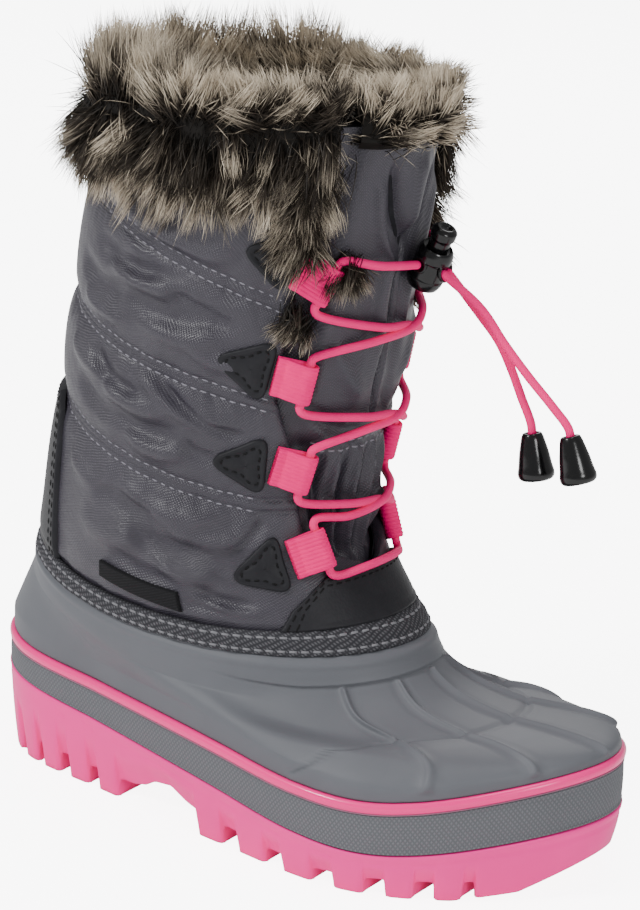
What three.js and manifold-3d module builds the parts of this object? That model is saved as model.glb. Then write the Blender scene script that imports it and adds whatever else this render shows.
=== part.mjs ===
// Snow boot: right foot, lateral side on -Y, toe on +X, ground at Z 0, origin under the heel. Millimetres.
import * as THREE from 'three';
import { mergeVertices } from 'three/addons/utils/BufferGeometryUtils.js';
import Module from 'manifold-3d';

const wasm = await Module();
wasm.setup();

// Driving sizes
const length = 250;            // heel back to toe tip
const ballWidth = 106;         // last width across the ball
const collarHeight = 250;      // ground to the top edge of the shaft
const heelSpot = 32;           // heel back to the centre of the heel's resting spot
const forefootSpot = 178;      // heel back to the centre of the forefoot's resting spot
const clear = 0.3;             // gap between curved pieces that touch
const soleHeight = 33;         // outsole under the heel
const soleFlare = 1.4;         // outsole top edge, out from the feather line
const soleInset = 2.4;         // outsole foot edge, in from the feather line
const foxingHeel = 8.6;        // foxing band height at the heel
const foxingToe = 15.9;        // and at the toe
const foxingWall = 2.4;
const foxingProud = 0.9;
const pipingHeight = 4;
const pipingProud = 1.6;
const shellWall = 3;
const ribHeight = 0.9;
const ribHalf = 1.3;
const insoleThick = 4;
const shaftWall = 3.2;         // nylon, padding and lining, without the puffs
const shaftTuck = 2.2;         // shaft behind the binding
const puffDepth = 2.6;         // how far the quilted bands swell
const bindingThick = 1.9;
const bindingProud = 0.7;
const tongueWall = 3.2;
const tonguePuff = 2.4;
const leatherThick = 1.2;
const webWidth = 14;
const webLength = 12.2;
const webThick = 1.1;
const cordRadius = 1.5;
const furTop = 15;             // fur above the shaft's edge
const furDepth = 9.5;          // fur out from the shaft
const tagThick = 0.8;
const tagReach = 28;           // how far round the label runs, in degrees
const bellLength = 16;
const bellRadius = 6.2;
const lockRadius = 6.4;
const lockLength = 16;
const buttonRadius = 4.4;
const buttonLength = 7.5;
const cleatReach = 15;         // cleats, in from the sole's edge

// Outsole top height at stations along the foot: station is a share of length, height of soleHeight
const soleTop = [
  { at: 0, height: 1 },
  { at: 0.25, height: 0.818 },
  { at: 0.45, height: 0.682 },
  { at: 0.65, height: 0.5 },
  { at: 0.8, height: 0.485 },
  { at: 1, height: 0.788 },
];
// Underside of the slab above the cleats, in the same shares
const soleUnder = [
  { at: 0, height: 0.5 },
  { at: 0.28, height: 0.44 },
  { at: 0.38, height: 0.4 },
  { at: 0.47, height: 0.24 },
  { at: 0.8, height: 0.2 },
  { at: 1, height: 0.46 },
];
// Lowest point of the tread: flat, then the toe spring
const treadFoot = [
  { at: 0, height: 0 },
  { at: 0.86, height: 0 },
  { at: 0.93, height: 0.09 },
  { at: 1, height: 0.4 },
];

// Cleats along each side: where each starts and ends, as shares of length
const cleats = [
  { from: 0.085, to: 0.12 },
  { from: 0.132, to: 0.17 },
  { from: 0.19, to: 0.23 },
  { from: 0.25, to: 0.292 },
  { from: 0.458, to: 0.506 },
  { from: 0.536, to: 0.588 },
  { from: 0.62, to: 0.672 },
  { from: 0.706, to: 0.752 },
  { from: 0.78, to: 0.816 },
  { from: 0.84, to: 0.872 },
];
// Bars across the middle: place and length as shares of length, width of ballWidth
const bars = [
  { at: 0.045, long: 0.056, wide: 0.34 },
  { at: heelSpot / length, long: 0.072, wide: 0.34 },
  { at: 0.24, long: 0.056, wide: 0.34 },
  { at: 0.49, long: 0.048, wide: 0.42 },
  { at: 0.57, long: 0.048, wide: 0.5 },
  { at: 0.65, long: 0.048, wide: 0.52 },
  { at: forefootSpot / length, long: 0.048, wide: 0.52 },
  { at: 0.79, long: 0.04, wide: 0.5 },
  { at: 0.945, long: 0.12, wide: 1 },
];

// Side fullness of the sections, every 30 degrees from the toe round to the heel
const fullness = {
  sole: { out: [1.1, 1.18, 1.27, 1, 0.86, 1.02, 1.05], in: [1.1, 1.18, 1, 0.86, 0.88, 1, 1.05] },
  cap: { out: [1.25, 1.2, 1.2, 1, 0.9, 1.02, 1.05], in: [1.25, 1.12, 0.96, 0.88, 0.9, 1, 1.05] },
  vamp: { out: [1.35, 1.2, 1.08, 1, 0.95, 1, 1.05], in: [1.3, 1.1, 0.96, 0.93, 0.93, 1, 1.05] },
  seam: { out: [1.15, 1.08, 1.02, 1, 1, 1, 1.05], in: [1.15, 1.06, 1, 0.98, 0.98, 1, 1.05] },
  shaft: { out: [1.05, 1.02, 1, 1, 1, 1, 1], in: [1.05, 1.02, 1, 1, 1, 1, 1] },
};

// Sections of the last, from the feather line to the collar. back and front are shares of length, half of
// ballWidth, the rest of collarHeight. follow is how much a section keeps to the feather line's height.
const sections = [
  { shape: 'sole', follow: 1, rise: 0, riseToe: 0, back: 0.008, front: 0.992, heel: 0, toe: 0, side: 0, half: 0.5 },
  { shape: 'sole', follow: 1, rise: 0.028, riseToe: 0.014, back: 0.008, front: 0.986, heel: 0, toe: 0, side: 0,
    half: 0.495 },
  { shape: 'cap', follow: 0.75, rise: 0.048, riseToe: 0.028, back: 0.014, front: 0.956, heel: 0.232, toe: 0.2,
    side: -0.016, half: 0.486 },
  { shape: 'cap', follow: 0.25, rise: 0.068, riseToe: 0.056, back: 0.024, front: 0.904, heel: 0.252, toe: 0.2,
    side: -0.036, half: 0.467 },
  { shape: 'vamp', follow: 0, rise: 0, riseToe: 0, back: 0.032, front: 0.832, heel: 0.268, toe: 0.204,
    side: -0.044, half: 0.448 },
  { shape: 'vamp', follow: 0, rise: 0, riseToe: 0, back: 0.04, front: 0.756, heel: 0.284, toe: 0.218,
    side: -0.048, half: 0.443 },
  { shape: 'seam', follow: 0, rise: 0, riseToe: 0, back: 0.046, front: 0.708, heel: 0.296, toe: 0.244,
    side: -0.04, half: 0.443 },
  { shape: 'seam', follow: 0, rise: 0, riseToe: 0, back: 0.052, front: 0.682, heel: 0.318, toe: 0.279,
    side: -0.028, half: 0.439 },
  { shape: 'seam', follow: 0, rise: 0, riseToe: 0, back: 0.082, front: 0.608, heel: 0.4, toe: 0.372,
    side: -0.032, half: 0.425 },
  { shape: 'shaft', follow: 0, rise: 0, riseToe: 0, back: 0.098, front: 0.584, heel: 0.504, toe: 0.468,
    side: -0.02, half: 0.415 },
  { shape: 'shaft', follow: 0, rise: 0, riseToe: 0, back: 0.11, front: 0.6, heel: 0.608, toe: 0.58,
    side: -0.012, half: 0.42 },
  { shape: 'shaft', follow: 0, rise: 0, riseToe: 0, back: 0.122, front: 0.616, heel: 0.704, toe: 0.688,
    side: -0.008, half: 0.425 },
  { shape: 'shaft', follow: 0, rise: 0, riseToe: 0, back: 0.14, front: 0.632, heel: 0.8, toe: 0.792,
    side: -0.004, half: 0.425 },
  { shape: 'shaft', follow: 0, rise: 0, riseToe: 0, back: 0.156, front: 0.652, heel: 0.888, toe: 0.896,
    side: 0, half: 0.429 },
  { shape: 'shaft', follow: 0, rise: 0, riseToe: 0, back: 0.172, front: 0.668, heel: 0.98, toe: 1, side: 0,
    half: 0.434 },
];
const collar = sections.length - 1;
const seamLow = 7.03;          // section number where shell meets binding
const seamHigh = 7.43;         // top of the binding

// Half angle of the throat at section numbers up the shaft, in degrees; zero below the notch
const throat = [
  { at: 8.02, half: 0 },
  { at: 8.5, half: 31 },
  { at: 9.2, half: 33 },
  { at: 10.4, half: 48 },
  { at: 12.4, half: 48 },
  { at: 14, half: 40 },
];
// Quilt seams: section number at the throat edge and at the back
const quiltSeams = [
  { front: 9.05, back: 9.8 },
  { front: 10.3, back: 11.35 },
  { front: 11.6, back: 13.3 },
];
// Shell ribs: angle at the shell's top and at the feather line, in degrees, one side
const ribs = [
  { top: 37, foot: 50 },
  { top: 17.5, foot: 28 },
  { top: 0, foot: 3 },
];
// Patches on the throat edge: tip at the back, then top and bottom corners beside the throat
const patches = [
  { tip: [67.4, 12.4], top: [50.2, 12.62], bottom: [52, 11.84] },
  { tip: [71, 10.93], top: [50.2, 11.2], bottom: [53, 10.37] },
  { tip: [68, 9.6], top: [49.2, 9.95], bottom: [47.6, 9.21] },
  { tip: [59.5, 8.12], top: [42, 8.72], bottom: [38.5, 7.92] },
];
// Webbing loops: angle and section number at the sewn edge and at the fold
const loops = [
  { sewn: [46.5, 12.16], fold: [34.2, 11.96] },
  { sewn: [48.6, 10.76], fold: [36.3, 10.67] },
  { sewn: [44, 9.6], fold: [30.7, 9.5] },
  { sewn: [35.5, 8.36], fold: [23.3, 8.46] },
];

const rad = THREE.MathUtils.degToRad;
const clamp = THREE.MathUtils.clamp;
const smooth = (x) => THREE.MathUtils.smoothstep(x, 0, 1);
const foldDegrees = (degrees) => Math.abs(THREE.MathUtils.euclideanModulo(degrees + 180, 360) - 180);
const vec = (x, y, z) => new THREE.Vector3(x, y, z);

// Catmull-Rom through four values
function blend(a, b, c, d, u) {
  const slopeB = (c - a) / 2;
  const slopeC = (d - b) / 2;
  const u2 = u * u;
  const u3 = u2 * u;
  return (2 * u3 - 3 * u2 + 1) * b + (u3 - 2 * u2 + u) * slopeB + (3 * u2 - 2 * u3) * c + (u3 - u2) * slopeC;
}

// Smooth value from a list at a real index
function listAt(list, index) {
  const last = list.length - 1;
  const k = Math.min(last - 1, Math.max(0, Math.floor(index)));
  const get = (i) => {
    if (i < 0) return 2 * list[0] - list[1];
    if (i > last) return 2 * list[last] - list[last - 1];
    return list[i];
  };
  return blend(get(k - 1), get(k), get(k + 1), get(k + 2), index - k);
}

// Smooth and straight readings of a table with a column called at
function tableSpan(table, at) {
  const last = table.length - 2;
  let k = 0;
  while (k < last && at > table[k + 1].at) k += 1;
  return { k, u: clamp((at - table[k].at) / (table[k + 1].at - table[k].at), 0, 1) };
}
function smoothTable(table, key, at) {
  const { k, u } = tableSpan(table, at);
  return listAt(table.map((row) => row[key]), k + u);
}
function lineTable(table, key, at) {
  const { k, u } = tableSpan(table, at);
  return table[k][key] + (table[k + 1][key] - table[k][key]) * u;
}

// Heights along the sole; x is measured from the heel back
const soleTopAt = (x) => soleHeight * smoothTable(soleTop, 'height', x / length);
const foxingAt = (x) => foxingHeel + (foxingToe - foxingHeel) * clamp(x / length, 0, 1);
const pipingFootAt = (x) => soleTopAt(x) + foxingAt(x) + clear;
const featherAt = (x) => pipingFootAt(x) + pipingHeight + clear;

// A point of section i at angle phi: 0 at the toe, 90 on the lateral side, 180 at the heel
function sectionPoint(i, phi) {
  const row = sections[i];
  const front = Math.cos(phi);
  const turn = THREE.MathUtils.euclideanModulo(phi, 2 * Math.PI);
  const outer = turn <= Math.PI;
  const steps = (outer ? turn : 2 * Math.PI - turn) / (Math.PI / 6);
  const full = listAt(fullness[row.shape][outer ? 'out' : 'in'], Math.min(steps, 5.99999));
  const back = row.back * length;
  const x = back + (row.front * length - back) * (1 + front) / 2;
  const y = -row.half * ballWidth * Math.sin(phi) * full;
  const rise = row.rise + (row.riseToe - row.rise) * Math.max(0, front) ** 2;
  const own = row.heel * (1 - front) / 2 + row.toe * (1 + front) / 2 + row.side * Math.sin(phi) ** 2;
  const z = row.follow * (featherAt(x) + rise * collarHeight) + (1 - row.follow) * own * collarHeight;
  return vec(x - heelSpot, y, z);
}

// The last's surface at angle phi and section number t
function last(phi, t) {
  const k = clamp(Math.floor(t), 0, collar - 1);
  const get = (i) => {
    if (i < 0) return sectionPoint(0, phi).multiplyScalar(2).sub(sectionPoint(1, phi));
    if (i > collar) return sectionPoint(collar, phi).multiplyScalar(2).sub(sectionPoint(collar - 1, phi));
    return sectionPoint(i, phi);
  };
  const [a, b, c, d] = [get(k - 1), get(k), get(k + 1), get(k + 2)];
  const u = t - k;
  return vec(blend(a.x, b.x, c.x, d.x, u), blend(a.y, b.y, c.y, d.y, u), blend(a.z, b.z, c.z, d.z, u));
}

// Unit directions on the last: outward, upward along it, and forward round it
function directions(phi, t) {
  const step = 0.01;
  const up = last(phi, Math.min(t + step, collar)).sub(last(phi, Math.max(t - step, 0)));
  const around = last(phi + step, t).sub(last(phi - step, t));
  const out = new THREE.Vector3().crossVectors(up, around).normalize();
  const rise = up.clone().normalize();
  return { out, rise, forward: new THREE.Vector3().crossVectors(rise, out).normalize() };
}

// A point of the last moved outward, and lifted by height
function onLast(phi, t, offset, lift = 0) {
  const point = last(phi, t).addScaledVector(directions(phi, t).out, offset);
  point.z += lift;
  return point;
}
const onLastDeg = (degrees, t, offset, lift = 0) => onLast(rad(degrees), t, offset, lift);

// Plan outline of the feather line, moved outward, at height z
function outline(phi, offset, z) {
  const step = 0.01;
  const point = sectionPoint(0, phi);
  const ahead = sectionPoint(0, phi + step);
  const behind = sectionPoint(0, phi - step);
  const along = vec(ahead.x - behind.x, ahead.y - behind.y, 0).normalize();
  return vec(point.x - along.y * offset, point.y + along.x * offset, z);
}

// Mesh building: every builder returns { points, faces } with shared corners
function signedVolume({ points, faces }) {
  let sum = 0;
  for (const [a, b, c] of faces) {
    sum += points[a].dot(new THREE.Vector3().crossVectors(points[b], points[c]));
  }
  return sum / 6;
}
function outward(body) {
  if (signedVolume(body) < 0) body.faces.forEach((face) => face.reverse());
  return body;
}
function addQuad(faces, a, b, c, d) {
  if (a !== b && b !== c && c !== a) faces.push([a, b, c]);
  if (a !== c && c !== d && d !== a) faces.push([a, c, d]);
}
// The same, split along its shorter diagonal
function addSkewQuad(points, faces, a, b, c, d) {
  if (points[a].distanceTo(points[c]) <= points[b].distanceTo(points[d])) addQuad(faces, a, b, c, d);
  else addQuad(faces, b, c, d, a);
}

// A closed band: rings joined in order and the last one back to the first
function bandBody(rings) {
  const size = rings[0].length;
  const faces = [];
  rings.forEach((ring, i) => {
    const next = (i + 1) % rings.length;
    for (let j = 0; j < size; j += 1) {
      const k = (j + 1) % size;
      addQuad(faces, i * size + j, i * size + k, next * size + k, next * size + j);
    }
  });
  return outward({ points: rings.flat(), faces });
}

// A slab: rings joined in order, its top and bottom closed by rungs from side to side
function slabBody(rings) {
  const size = rings[0].length;
  const faces = [];
  for (let i = 0; i + 1 < rings.length; i += 1) {
    for (let j = 0; j < size; j += 1) {
      const k = (j + 1) % size;
      addQuad(faces, i * size + j, i * size + k, (i + 1) * size + k, (i + 1) * size + j);
    }
  }
  for (const [base, flip] of [[0, true], [(rings.length - 1) * size, false]]) {
    for (let j = 0; j < size / 2; j += 1) {
      const corners = [j, j + 1, (size - j - 1) % size, (size - j) % size].map((n) => base + n);
      if (flip) corners.reverse();
      addQuad(faces, ...corners);
    }
  }
  return outward({ points: rings.flat(), faces });
}

// A sheet with two skins of equal grids. Rows up to and including joined close on themselves.
function sheetBody(outer, inner, joined = -1) {
  const rows = outer.length;
  const cols = outer[0].length;
  const points = [...outer.flat(), ...inner.flat()];
  const at = (skin, i, j) => skin * rows * cols + i * cols + (i <= joined && j === cols - 1 ? 0 : j);
  const faces = [];
  for (let i = 0; i + 1 < rows; i += 1) {
    for (let j = 0; j + 1 < cols; j += 1) {
      addSkewQuad(points, faces, at(0, i, j), at(0, i, j + 1), at(0, i + 1, j + 1), at(0, i + 1, j));
      addSkewQuad(points, faces, at(1, i, j), at(1, i + 1, j), at(1, i + 1, j + 1), at(1, i, j + 1));
    }
  }
  for (let j = 0; j + 1 < cols; j += 1) {
    addQuad(faces, at(0, 0, j + 1), at(0, 0, j), at(1, 0, j), at(1, 0, j + 1));
    addQuad(faces, at(0, rows - 1, j), at(0, rows - 1, j + 1), at(1, rows - 1, j + 1), at(1, rows - 1, j));
  }
  for (let i = Math.max(joined, 0); i + 1 < rows; i += 1) {
    const end = cols - 1;
    addQuad(faces, at(0, i, 0), at(0, i + 1, 0), at(1, i + 1, 0), at(1, i, 0));
    addQuad(faces, at(0, i + 1, end), at(0, i, end), at(1, i, end), at(1, i + 1, end));
  }
  return outward({ points, faces });
}

// A thin pad: an edge ring and a centre, on two skins
function padBody(outerRing, innerRing, outerCentre, innerCentre) {
  const size = outerRing.length;
  const faces = [];
  for (let j = 0; j < size; j += 1) {
    const k = (j + 1) % size;
    faces.push([j, k, 2 * size], [size + k, size + j, 2 * size + 1]);
    addQuad(faces, k, j, size + j, size + k);
  }
  return outward({ points: [...outerRing, ...innerRing, outerCentre, innerCentre], faces });
}

function bodyGeometry({ points, faces }) {
  const geometry = new THREE.BufferGeometry();
  const flat = points.flatMap((p) => [p.x, p.y, p.z]);
  geometry.setAttribute('position', new THREE.Float32BufferAttribute(flat, 3));
  geometry.setIndex(faces.flat());
  return mergeVertices(geometry, 1e-4);
}
function plainGeometry(geometry) {
  geometry.deleteAttribute('normal');
  geometry.deleteAttribute('uv');
  return mergeVertices(geometry, 1e-4);
}
function toSolid(geometry) {
  const vertProperties = new Float32Array(geometry.attributes.position.array);
  const triVerts = new Uint32Array(geometry.index.array);
  return new wasm.Manifold(new wasm.Mesh({ numProp: 3, vertProperties, triVerts }));
}
function fromSolid(solid) {
  const mesh = solid.getMesh();
  const geometry = new THREE.BufferGeometry();
  geometry.setAttribute('position', new THREE.BufferAttribute(new Float32Array(mesh.vertProperties), 3));
  geometry.setIndex(new THREE.BufferAttribute(new Uint32Array(mesh.triVerts), 1));
  return geometry;
}

// Cords and other tubes of eight sides
function tubeGeometry(points, radius, steps, sides = 8) {
  const path = new THREE.CatmullRomCurve3(points, false, 'centripetal');
  const corners = [];
  for (let k = 0; k < sides; k += 1) {
    const turn = 2 * Math.PI * k / sides;
    corners.push(new THREE.Vector2(radius * Math.cos(turn), radius * Math.sin(turn)));
  }
  const shape = new THREE.Shape(corners);
  return plainGeometry(new THREE.ExtrudeGeometry(shape, { steps, bevelEnabled: false, extrudePath: path }));
}

const boot = new THREE.Group();
const colours = {
  pink: { color: 0xf0609a, roughness: 0.45, metalness: 0 },
  piping: { color: 0xf0508c, roughness: 0.2, metalness: 0 },
  grey: { color: 0x7b7d81, roughness: 0.6, metalness: 0 },
  foxing: { color: 0x77797d, roughness: 0.75, metalness: 0 },
  nylon: { color: 0x4d4a53, roughness: 0.6, metalness: 0 },
  leather: { color: 0x29292c, roughness: 0.5, metalness: 0 },
  binding: { color: 0x4a4a4f, roughness: 0.8, metalness: 0 },
  fur: { color: 0x5a5249, roughness: 0.95, metalness: 0 },
  cord: { color: 0xe8457f, roughness: 0.6, metalness: 0 },
  plastic: { color: 0x17171a, roughness: 0.3, metalness: 0 },
  felt: { color: 0x3c3c40, roughness: 0.95, metalness: 0 },
};
function addMesh(name, geometry, colour) {
  const mesh = new THREE.Mesh(geometry, new THREE.MeshStandardMaterial(colours[colour]));
  mesh.name = name;
  boot.add(mesh);
  return mesh;
}

// Rings of the sole's outline: offset and height are functions of x from the heel back
const soleSides = 44;
function soleRing(offset, heightAt) {
  const ring = [];
  for (let j = 0; j < soleSides; j += 1) {
    const phi = 2 * Math.PI * j / soleSides;
    const point = outline(phi, offset, 0);
    point.z = heightAt(sectionPoint(0, phi).x + heelSpot);
    ring.push(point);
  }
  return ring;
}

// Outsole: a wedge slab, and cleats cut to its outline
const treadAt = (x) => soleHeight * lineTable(treadFoot, 'height', x / length);
const underAt = (x) => soleHeight * smoothTable(soleUnder, 'height', x / length);
function cleatBlock(x, y, angle, long, wide) {
  const box = new THREE.BoxGeometry(long, wide, soleHeight);
  box.rotateZ(angle);
  box.translate(x, y, soleHeight / 2 - 1);
  return toSolid(plainGeometry(box));
}
function outsoleGeometry() {
  const slab = slabBody([
    soleRing(-1, underAt),
    soleRing(soleFlare - 0.4, (x) => (underAt(x) + soleTopAt(x)) / 2),
    soleRing(soleFlare, (x) => soleTopAt(x)),
  ]);
  const envelope = slabBody([
    soleRing(-soleInset, treadAt),
    soleRing(-0.6, (x) => underAt(x) + 2),
  ]);
  const place = (phi, inward) => {
    const edge = outline(phi, -inward, 0);
    const next = outline(phi + 0.01, -inward, 0);
    return { x: edge.x, y: edge.y, angle: Math.atan2(next.y - edge.y, next.x - edge.x) };
  };
  const blocks = [];
  for (const side of [1, -1]) {
    for (const { from, to } of cleats) {
      const phi = Math.acos(clamp(from + to - 1, -1, 1));
      const spot = place(side * phi, cleatReach / 2 - soleInset);
      const long = (to - from) * length / Math.max(0.35, Math.abs(Math.cos(spot.angle)));
      blocks.push(cleatBlock(spot.x, spot.y, spot.angle, long, cleatReach));
    }
  }
  for (const bar of bars) {
    blocks.push(cleatBlock(bar.at * length - heelSpot, 0, 0, bar.long * length, bar.wide * ballWidth));
  }
  const tread = blocks.reduce((sum, block) => sum.add(block));
  return fromSolid(toSolid(bodyGeometry(slab)).add(tread.intersect(toSolid(bodyGeometry(envelope)))));
}
addMesh('outsole', outsoleGeometry(), 'pink');

// Foxing band and piping round the sole
const foxingInner = foxingProud - foxingWall;
const overSole = (x) => soleTopAt(x) + clear;
addMesh('foxing', bodyGeometry(bandBody([
  soleRing(foxingProud, overSole),
  soleRing(foxingProud, (x) => soleTopAt(x) + foxingAt(x)),
  soleRing(foxingInner, (x) => soleTopAt(x) + foxingAt(x)),
  soleRing(foxingInner, overSole),
])), 'foxing');
const pipingRing = (offset, share) => soleRing(offset, (x) => pipingFootAt(x) + pipingHeight * share);
addMesh('piping', bodyGeometry(bandBody([
  pipingRing(foxingInner, 0),
  pipingRing(pipingProud * 0.55, 0),
  pipingRing(pipingProud, 0.3),
  pipingRing(pipingProud, 0.7),
  pipingRing(pipingProud * 0.45, 1),
  pipingRing(foxingInner, 1),
])), 'piping');

// Insole inside the shell
const innerEdge = foxingInner - 2 * clear - shellWall - 1.8;
addMesh('insole', bodyGeometry(slabBody([
  soleRing(innerEdge, overSole),
  soleRing(innerEdge, (x) => soleTopAt(x) + clear + insoleThick),
])), 'felt');

// Shell: columns follow the ribs, so that each rib is a ridge in the wall
const ribAngle = (rib, t) => rad(rib.foot + (rib.top - rib.foot) * clamp(t / 6, 0, 1));
function shellColumns(t) {
  const columns = [];
  const ribWide = ribHalf / (0.3 * ballWidth);
  const centre = ribAngle(ribs[2], t);
  const angles = [ribAngle(ribs[0], t), ribAngle(ribs[1], t), centre];
  const sideSteps = 8;
  const sideOne = angles[0] + ribWide;
  for (let k = 0; k <= 2 * sideSteps; k += 1) {
    columns.push({ phi: sideOne + (2 * Math.PI - 2 * sideOne) * k / (2 * sideSteps), rib: 0 });
  }
  const across = [-angles[0], -angles[1], centre, angles[1], angles[0]];
  across.forEach((angle, k) => {
    if (k > 0) columns.push({ phi: angle - ribWide, rib: 0 });
    columns.push({ phi: angle, rib: 1 });
    if (k < across.length - 1) {
      columns.push({ phi: angle + ribWide, rib: 0 }, { phi: (angle + across[k + 1]) / 2, rib: 0 });
    }
  });
  return columns;
}
const shellRows = [0, 0.6, 1.3, 2.1, 2.9, 3.7, 4.5, 5.3, 5.95, 6.15, 6.6, seamLow - 0.02];
const stepRow = 6.05;          // section number of the step under the shell's top edge
const stepReach = 52;          // the step runs this far round from the toe, in degrees
function shellSkin(t, offset, ribbed) {
  return shellColumns(t).map(({ phi, rib }) => {
    const onRib = ribbed && rib && t > 0 && t < stepRow;
    const inStep = t > stepRow && foldDegrees(THREE.MathUtils.radToDeg(phi)) < stepReach;
    const stepped = ribbed && inStep ? ribHeight * 0.7 : 0;
    return onLast(phi, t, offset + (onRib ? ribHeight : 0) + stepped);
  });
}
function shellFoot(offset, heightAt) {
  return shellColumns(0).map(({ phi }) => {
    const point = outline(phi, offset, 0);
    point.z = heightAt(sectionPoint(0, phi).x + heelSpot);
    return point;
  });
}
const shellFootOut = foxingInner - 2 * clear;
addMesh('shell', bodyGeometry(bandBody([
  shellFoot(shellFootOut, overSole),
  shellFoot(shellFootOut, featherAt),
  ...shellRows.map((t) => shellSkin(t, 0, true)),
  ...[...shellRows].reverse().filter((t, i) => i % 2 === 0).map((t) => shellSkin(t, -shellWall, false)),
  shellFoot(shellFootOut - shellWall, (x) => soleTopAt(x) + clear + insoleThick),
  shellFoot(shellFootOut - shellWall, overSole),
])), 'grey');

// Shaft: quilted bands between seam lines, open at the throat
const throatHalf = (t) => lineTable(throat, 'half', t);
function seamAt(seam, degrees) {
  const share = clamp((degrees - 48) / 132, 0, 1);
  return seam.front + (seam.back - seam.front) * share;
}
function quiltLines(degrees) {
  const side = foldDegrees(degrees);
  return [seamHigh + 0.08, ...quiltSeams.map((seam) => seamAt(seam, side)), collar];
}
// How far the quilted skin stands off the last
function shaftPuff(degrees, t) {
  if (t <= seamHigh) return -bindingThick - clear;
  const lines = quiltLines(degrees);
  let band = 0;
  while (band < lines.length - 2 && t > lines[band + 1]) band += 1;
  const share = clamp((t - lines[band]) / (lines[band + 1] - lines[band]), 0, 1);
  const calm = 0.3 + 0.7 * smooth((foldDegrees(degrees) - 55) / 45);
  return puffDepth * calm * Math.sqrt(Math.sin(Math.PI * share) + 1e-9) - 0.4;
}
const shaftShares = [
  { band: 0, share: 0 },
  { band: 0, share: 0.3 },
  { band: 0, share: 0.65 },
  { band: 1, share: 0 },
  { band: 1, share: 0.33 },
  { band: 1, share: 0.7 },
  { band: 2, share: 0 },
  { band: 2, share: 0.33 },
  { band: 2, share: 0.7 },
  { band: 3, share: 0 },
  { band: 3, share: 0.33 },
  { band: 3, share: 0.7 },
  { band: 3, share: 1 },
];
const notchRow = 3;            // the row, counting the two behind the binding, where the throat begins
const shaftColumns = 30;
function shaftGrid(inward) {
  const grid = [];
  const addRow = (levelAt) => {
    const row = [];
    for (let j = 0; j <= shaftColumns; j += 1) {
      const joined = grid.length <= notchRow;
      const guess = joined ? 0 : throatHalf(levelAt(48));
      const degrees = guess + (360 - 2 * guess) * j / shaftColumns;
      const t = levelAt(degrees);
      const tuck = t <= seamHigh ? bindingThick + clear + shaftTuck : shaftWall;
      const offset = inward ? -tuck : shaftPuff(degrees, t);
      row.push(onLastDeg(degrees, t, offset));
    }
    grid.push(row);
  };
  addRow(() => seamLow + 0.01);
  addRow(() => seamHigh);
  for (const { band, share } of shaftShares) {
    addRow((degrees) => {
      const lines = quiltLines(degrees);
      return lines[band] + (lines[band + 1] - lines[band]) * share;
    });
  }
  return grid;
}
addMesh('shaft', bodyGeometry(sheetBody(shaftGrid(false), shaftGrid(true), notchRow)), 'nylon');

// Binding strip over the join of shell and shaft
const bindingColumns = 36;
function bindingRing(t, offset) {
  const ring = [];
  for (let j = 0; j < bindingColumns; j += 1) ring.push(onLastDeg(360 * j / bindingColumns, t, offset));
  return ring;
}
addMesh('seam_binding', bodyGeometry(bandBody([
  bindingRing(seamLow + 0.01, -bindingThick),
  bindingRing(seamLow + 0.01, bindingProud),
  bindingRing(seamHigh, bindingProud),
  bindingRing(seamHigh, -bindingThick),
])), 'binding');

// Tongue: behind the throat edges, swelling between them
const tongueLevels = [7.62, 7.85, 8.1, 8.35, 8.65, 8.95, 9.35, 9.75, 10.1, 10.6, 11.1, 11.6, 12.1, 12.7, 13.3, collar];
const tongueSeam = 9.75;
const tongueSetback = 1.4;     // more room behind the notch, where the wall turns sharply
const tongueLap = 13;          // how far the tongue runs behind each throat edge, in degrees
function tongueOffset(degrees, t) {
  const side = Math.abs(degrees);
  const open = smooth((throatHalf(t) - 4 - side) / 13) * smooth((t - throat[0].at - 0.25) / 0.6);
  const share = (t - tongueSeam) / (12.9 - tongueSeam);
  const swell = share > 0 && share < 1 ? Math.sin(Math.PI * share) : 0;
  const fold = 1 - Math.exp(-((degrees + 3) ** 2) / 18);
  const instep = 1 - smooth((t - throat[1].at) / 0.6);
  const behind = -shaftWall - 2 * clear - tongueSetback * instep;
  return behind + open * (-behind + tonguePuff * swell * fold - 0.6);
}
function tongueGrid(inward) {
  return tongueLevels.map((t) => {
    const half = Math.max(throatHalf(t), 30);
    const columns = [half + tongueLap, half + 2, half - 3, half - 8, half - 14, half * 0.28, 3];
    const row = [...columns, ...columns.map((degrees) => -degrees).reverse()];
    row.splice(7, 0, -2);
    const ordered = row.sort((a, b) => b - a);
    return ordered.map((degrees) => onLastDeg(degrees, t, tongueOffset(degrees, t) - (inward ? tongueWall : 0)));
  });
}
addMesh('tongue', bodyGeometry(sheetBody(tongueGrid(false), tongueGrid(true))), 'nylon');

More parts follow.
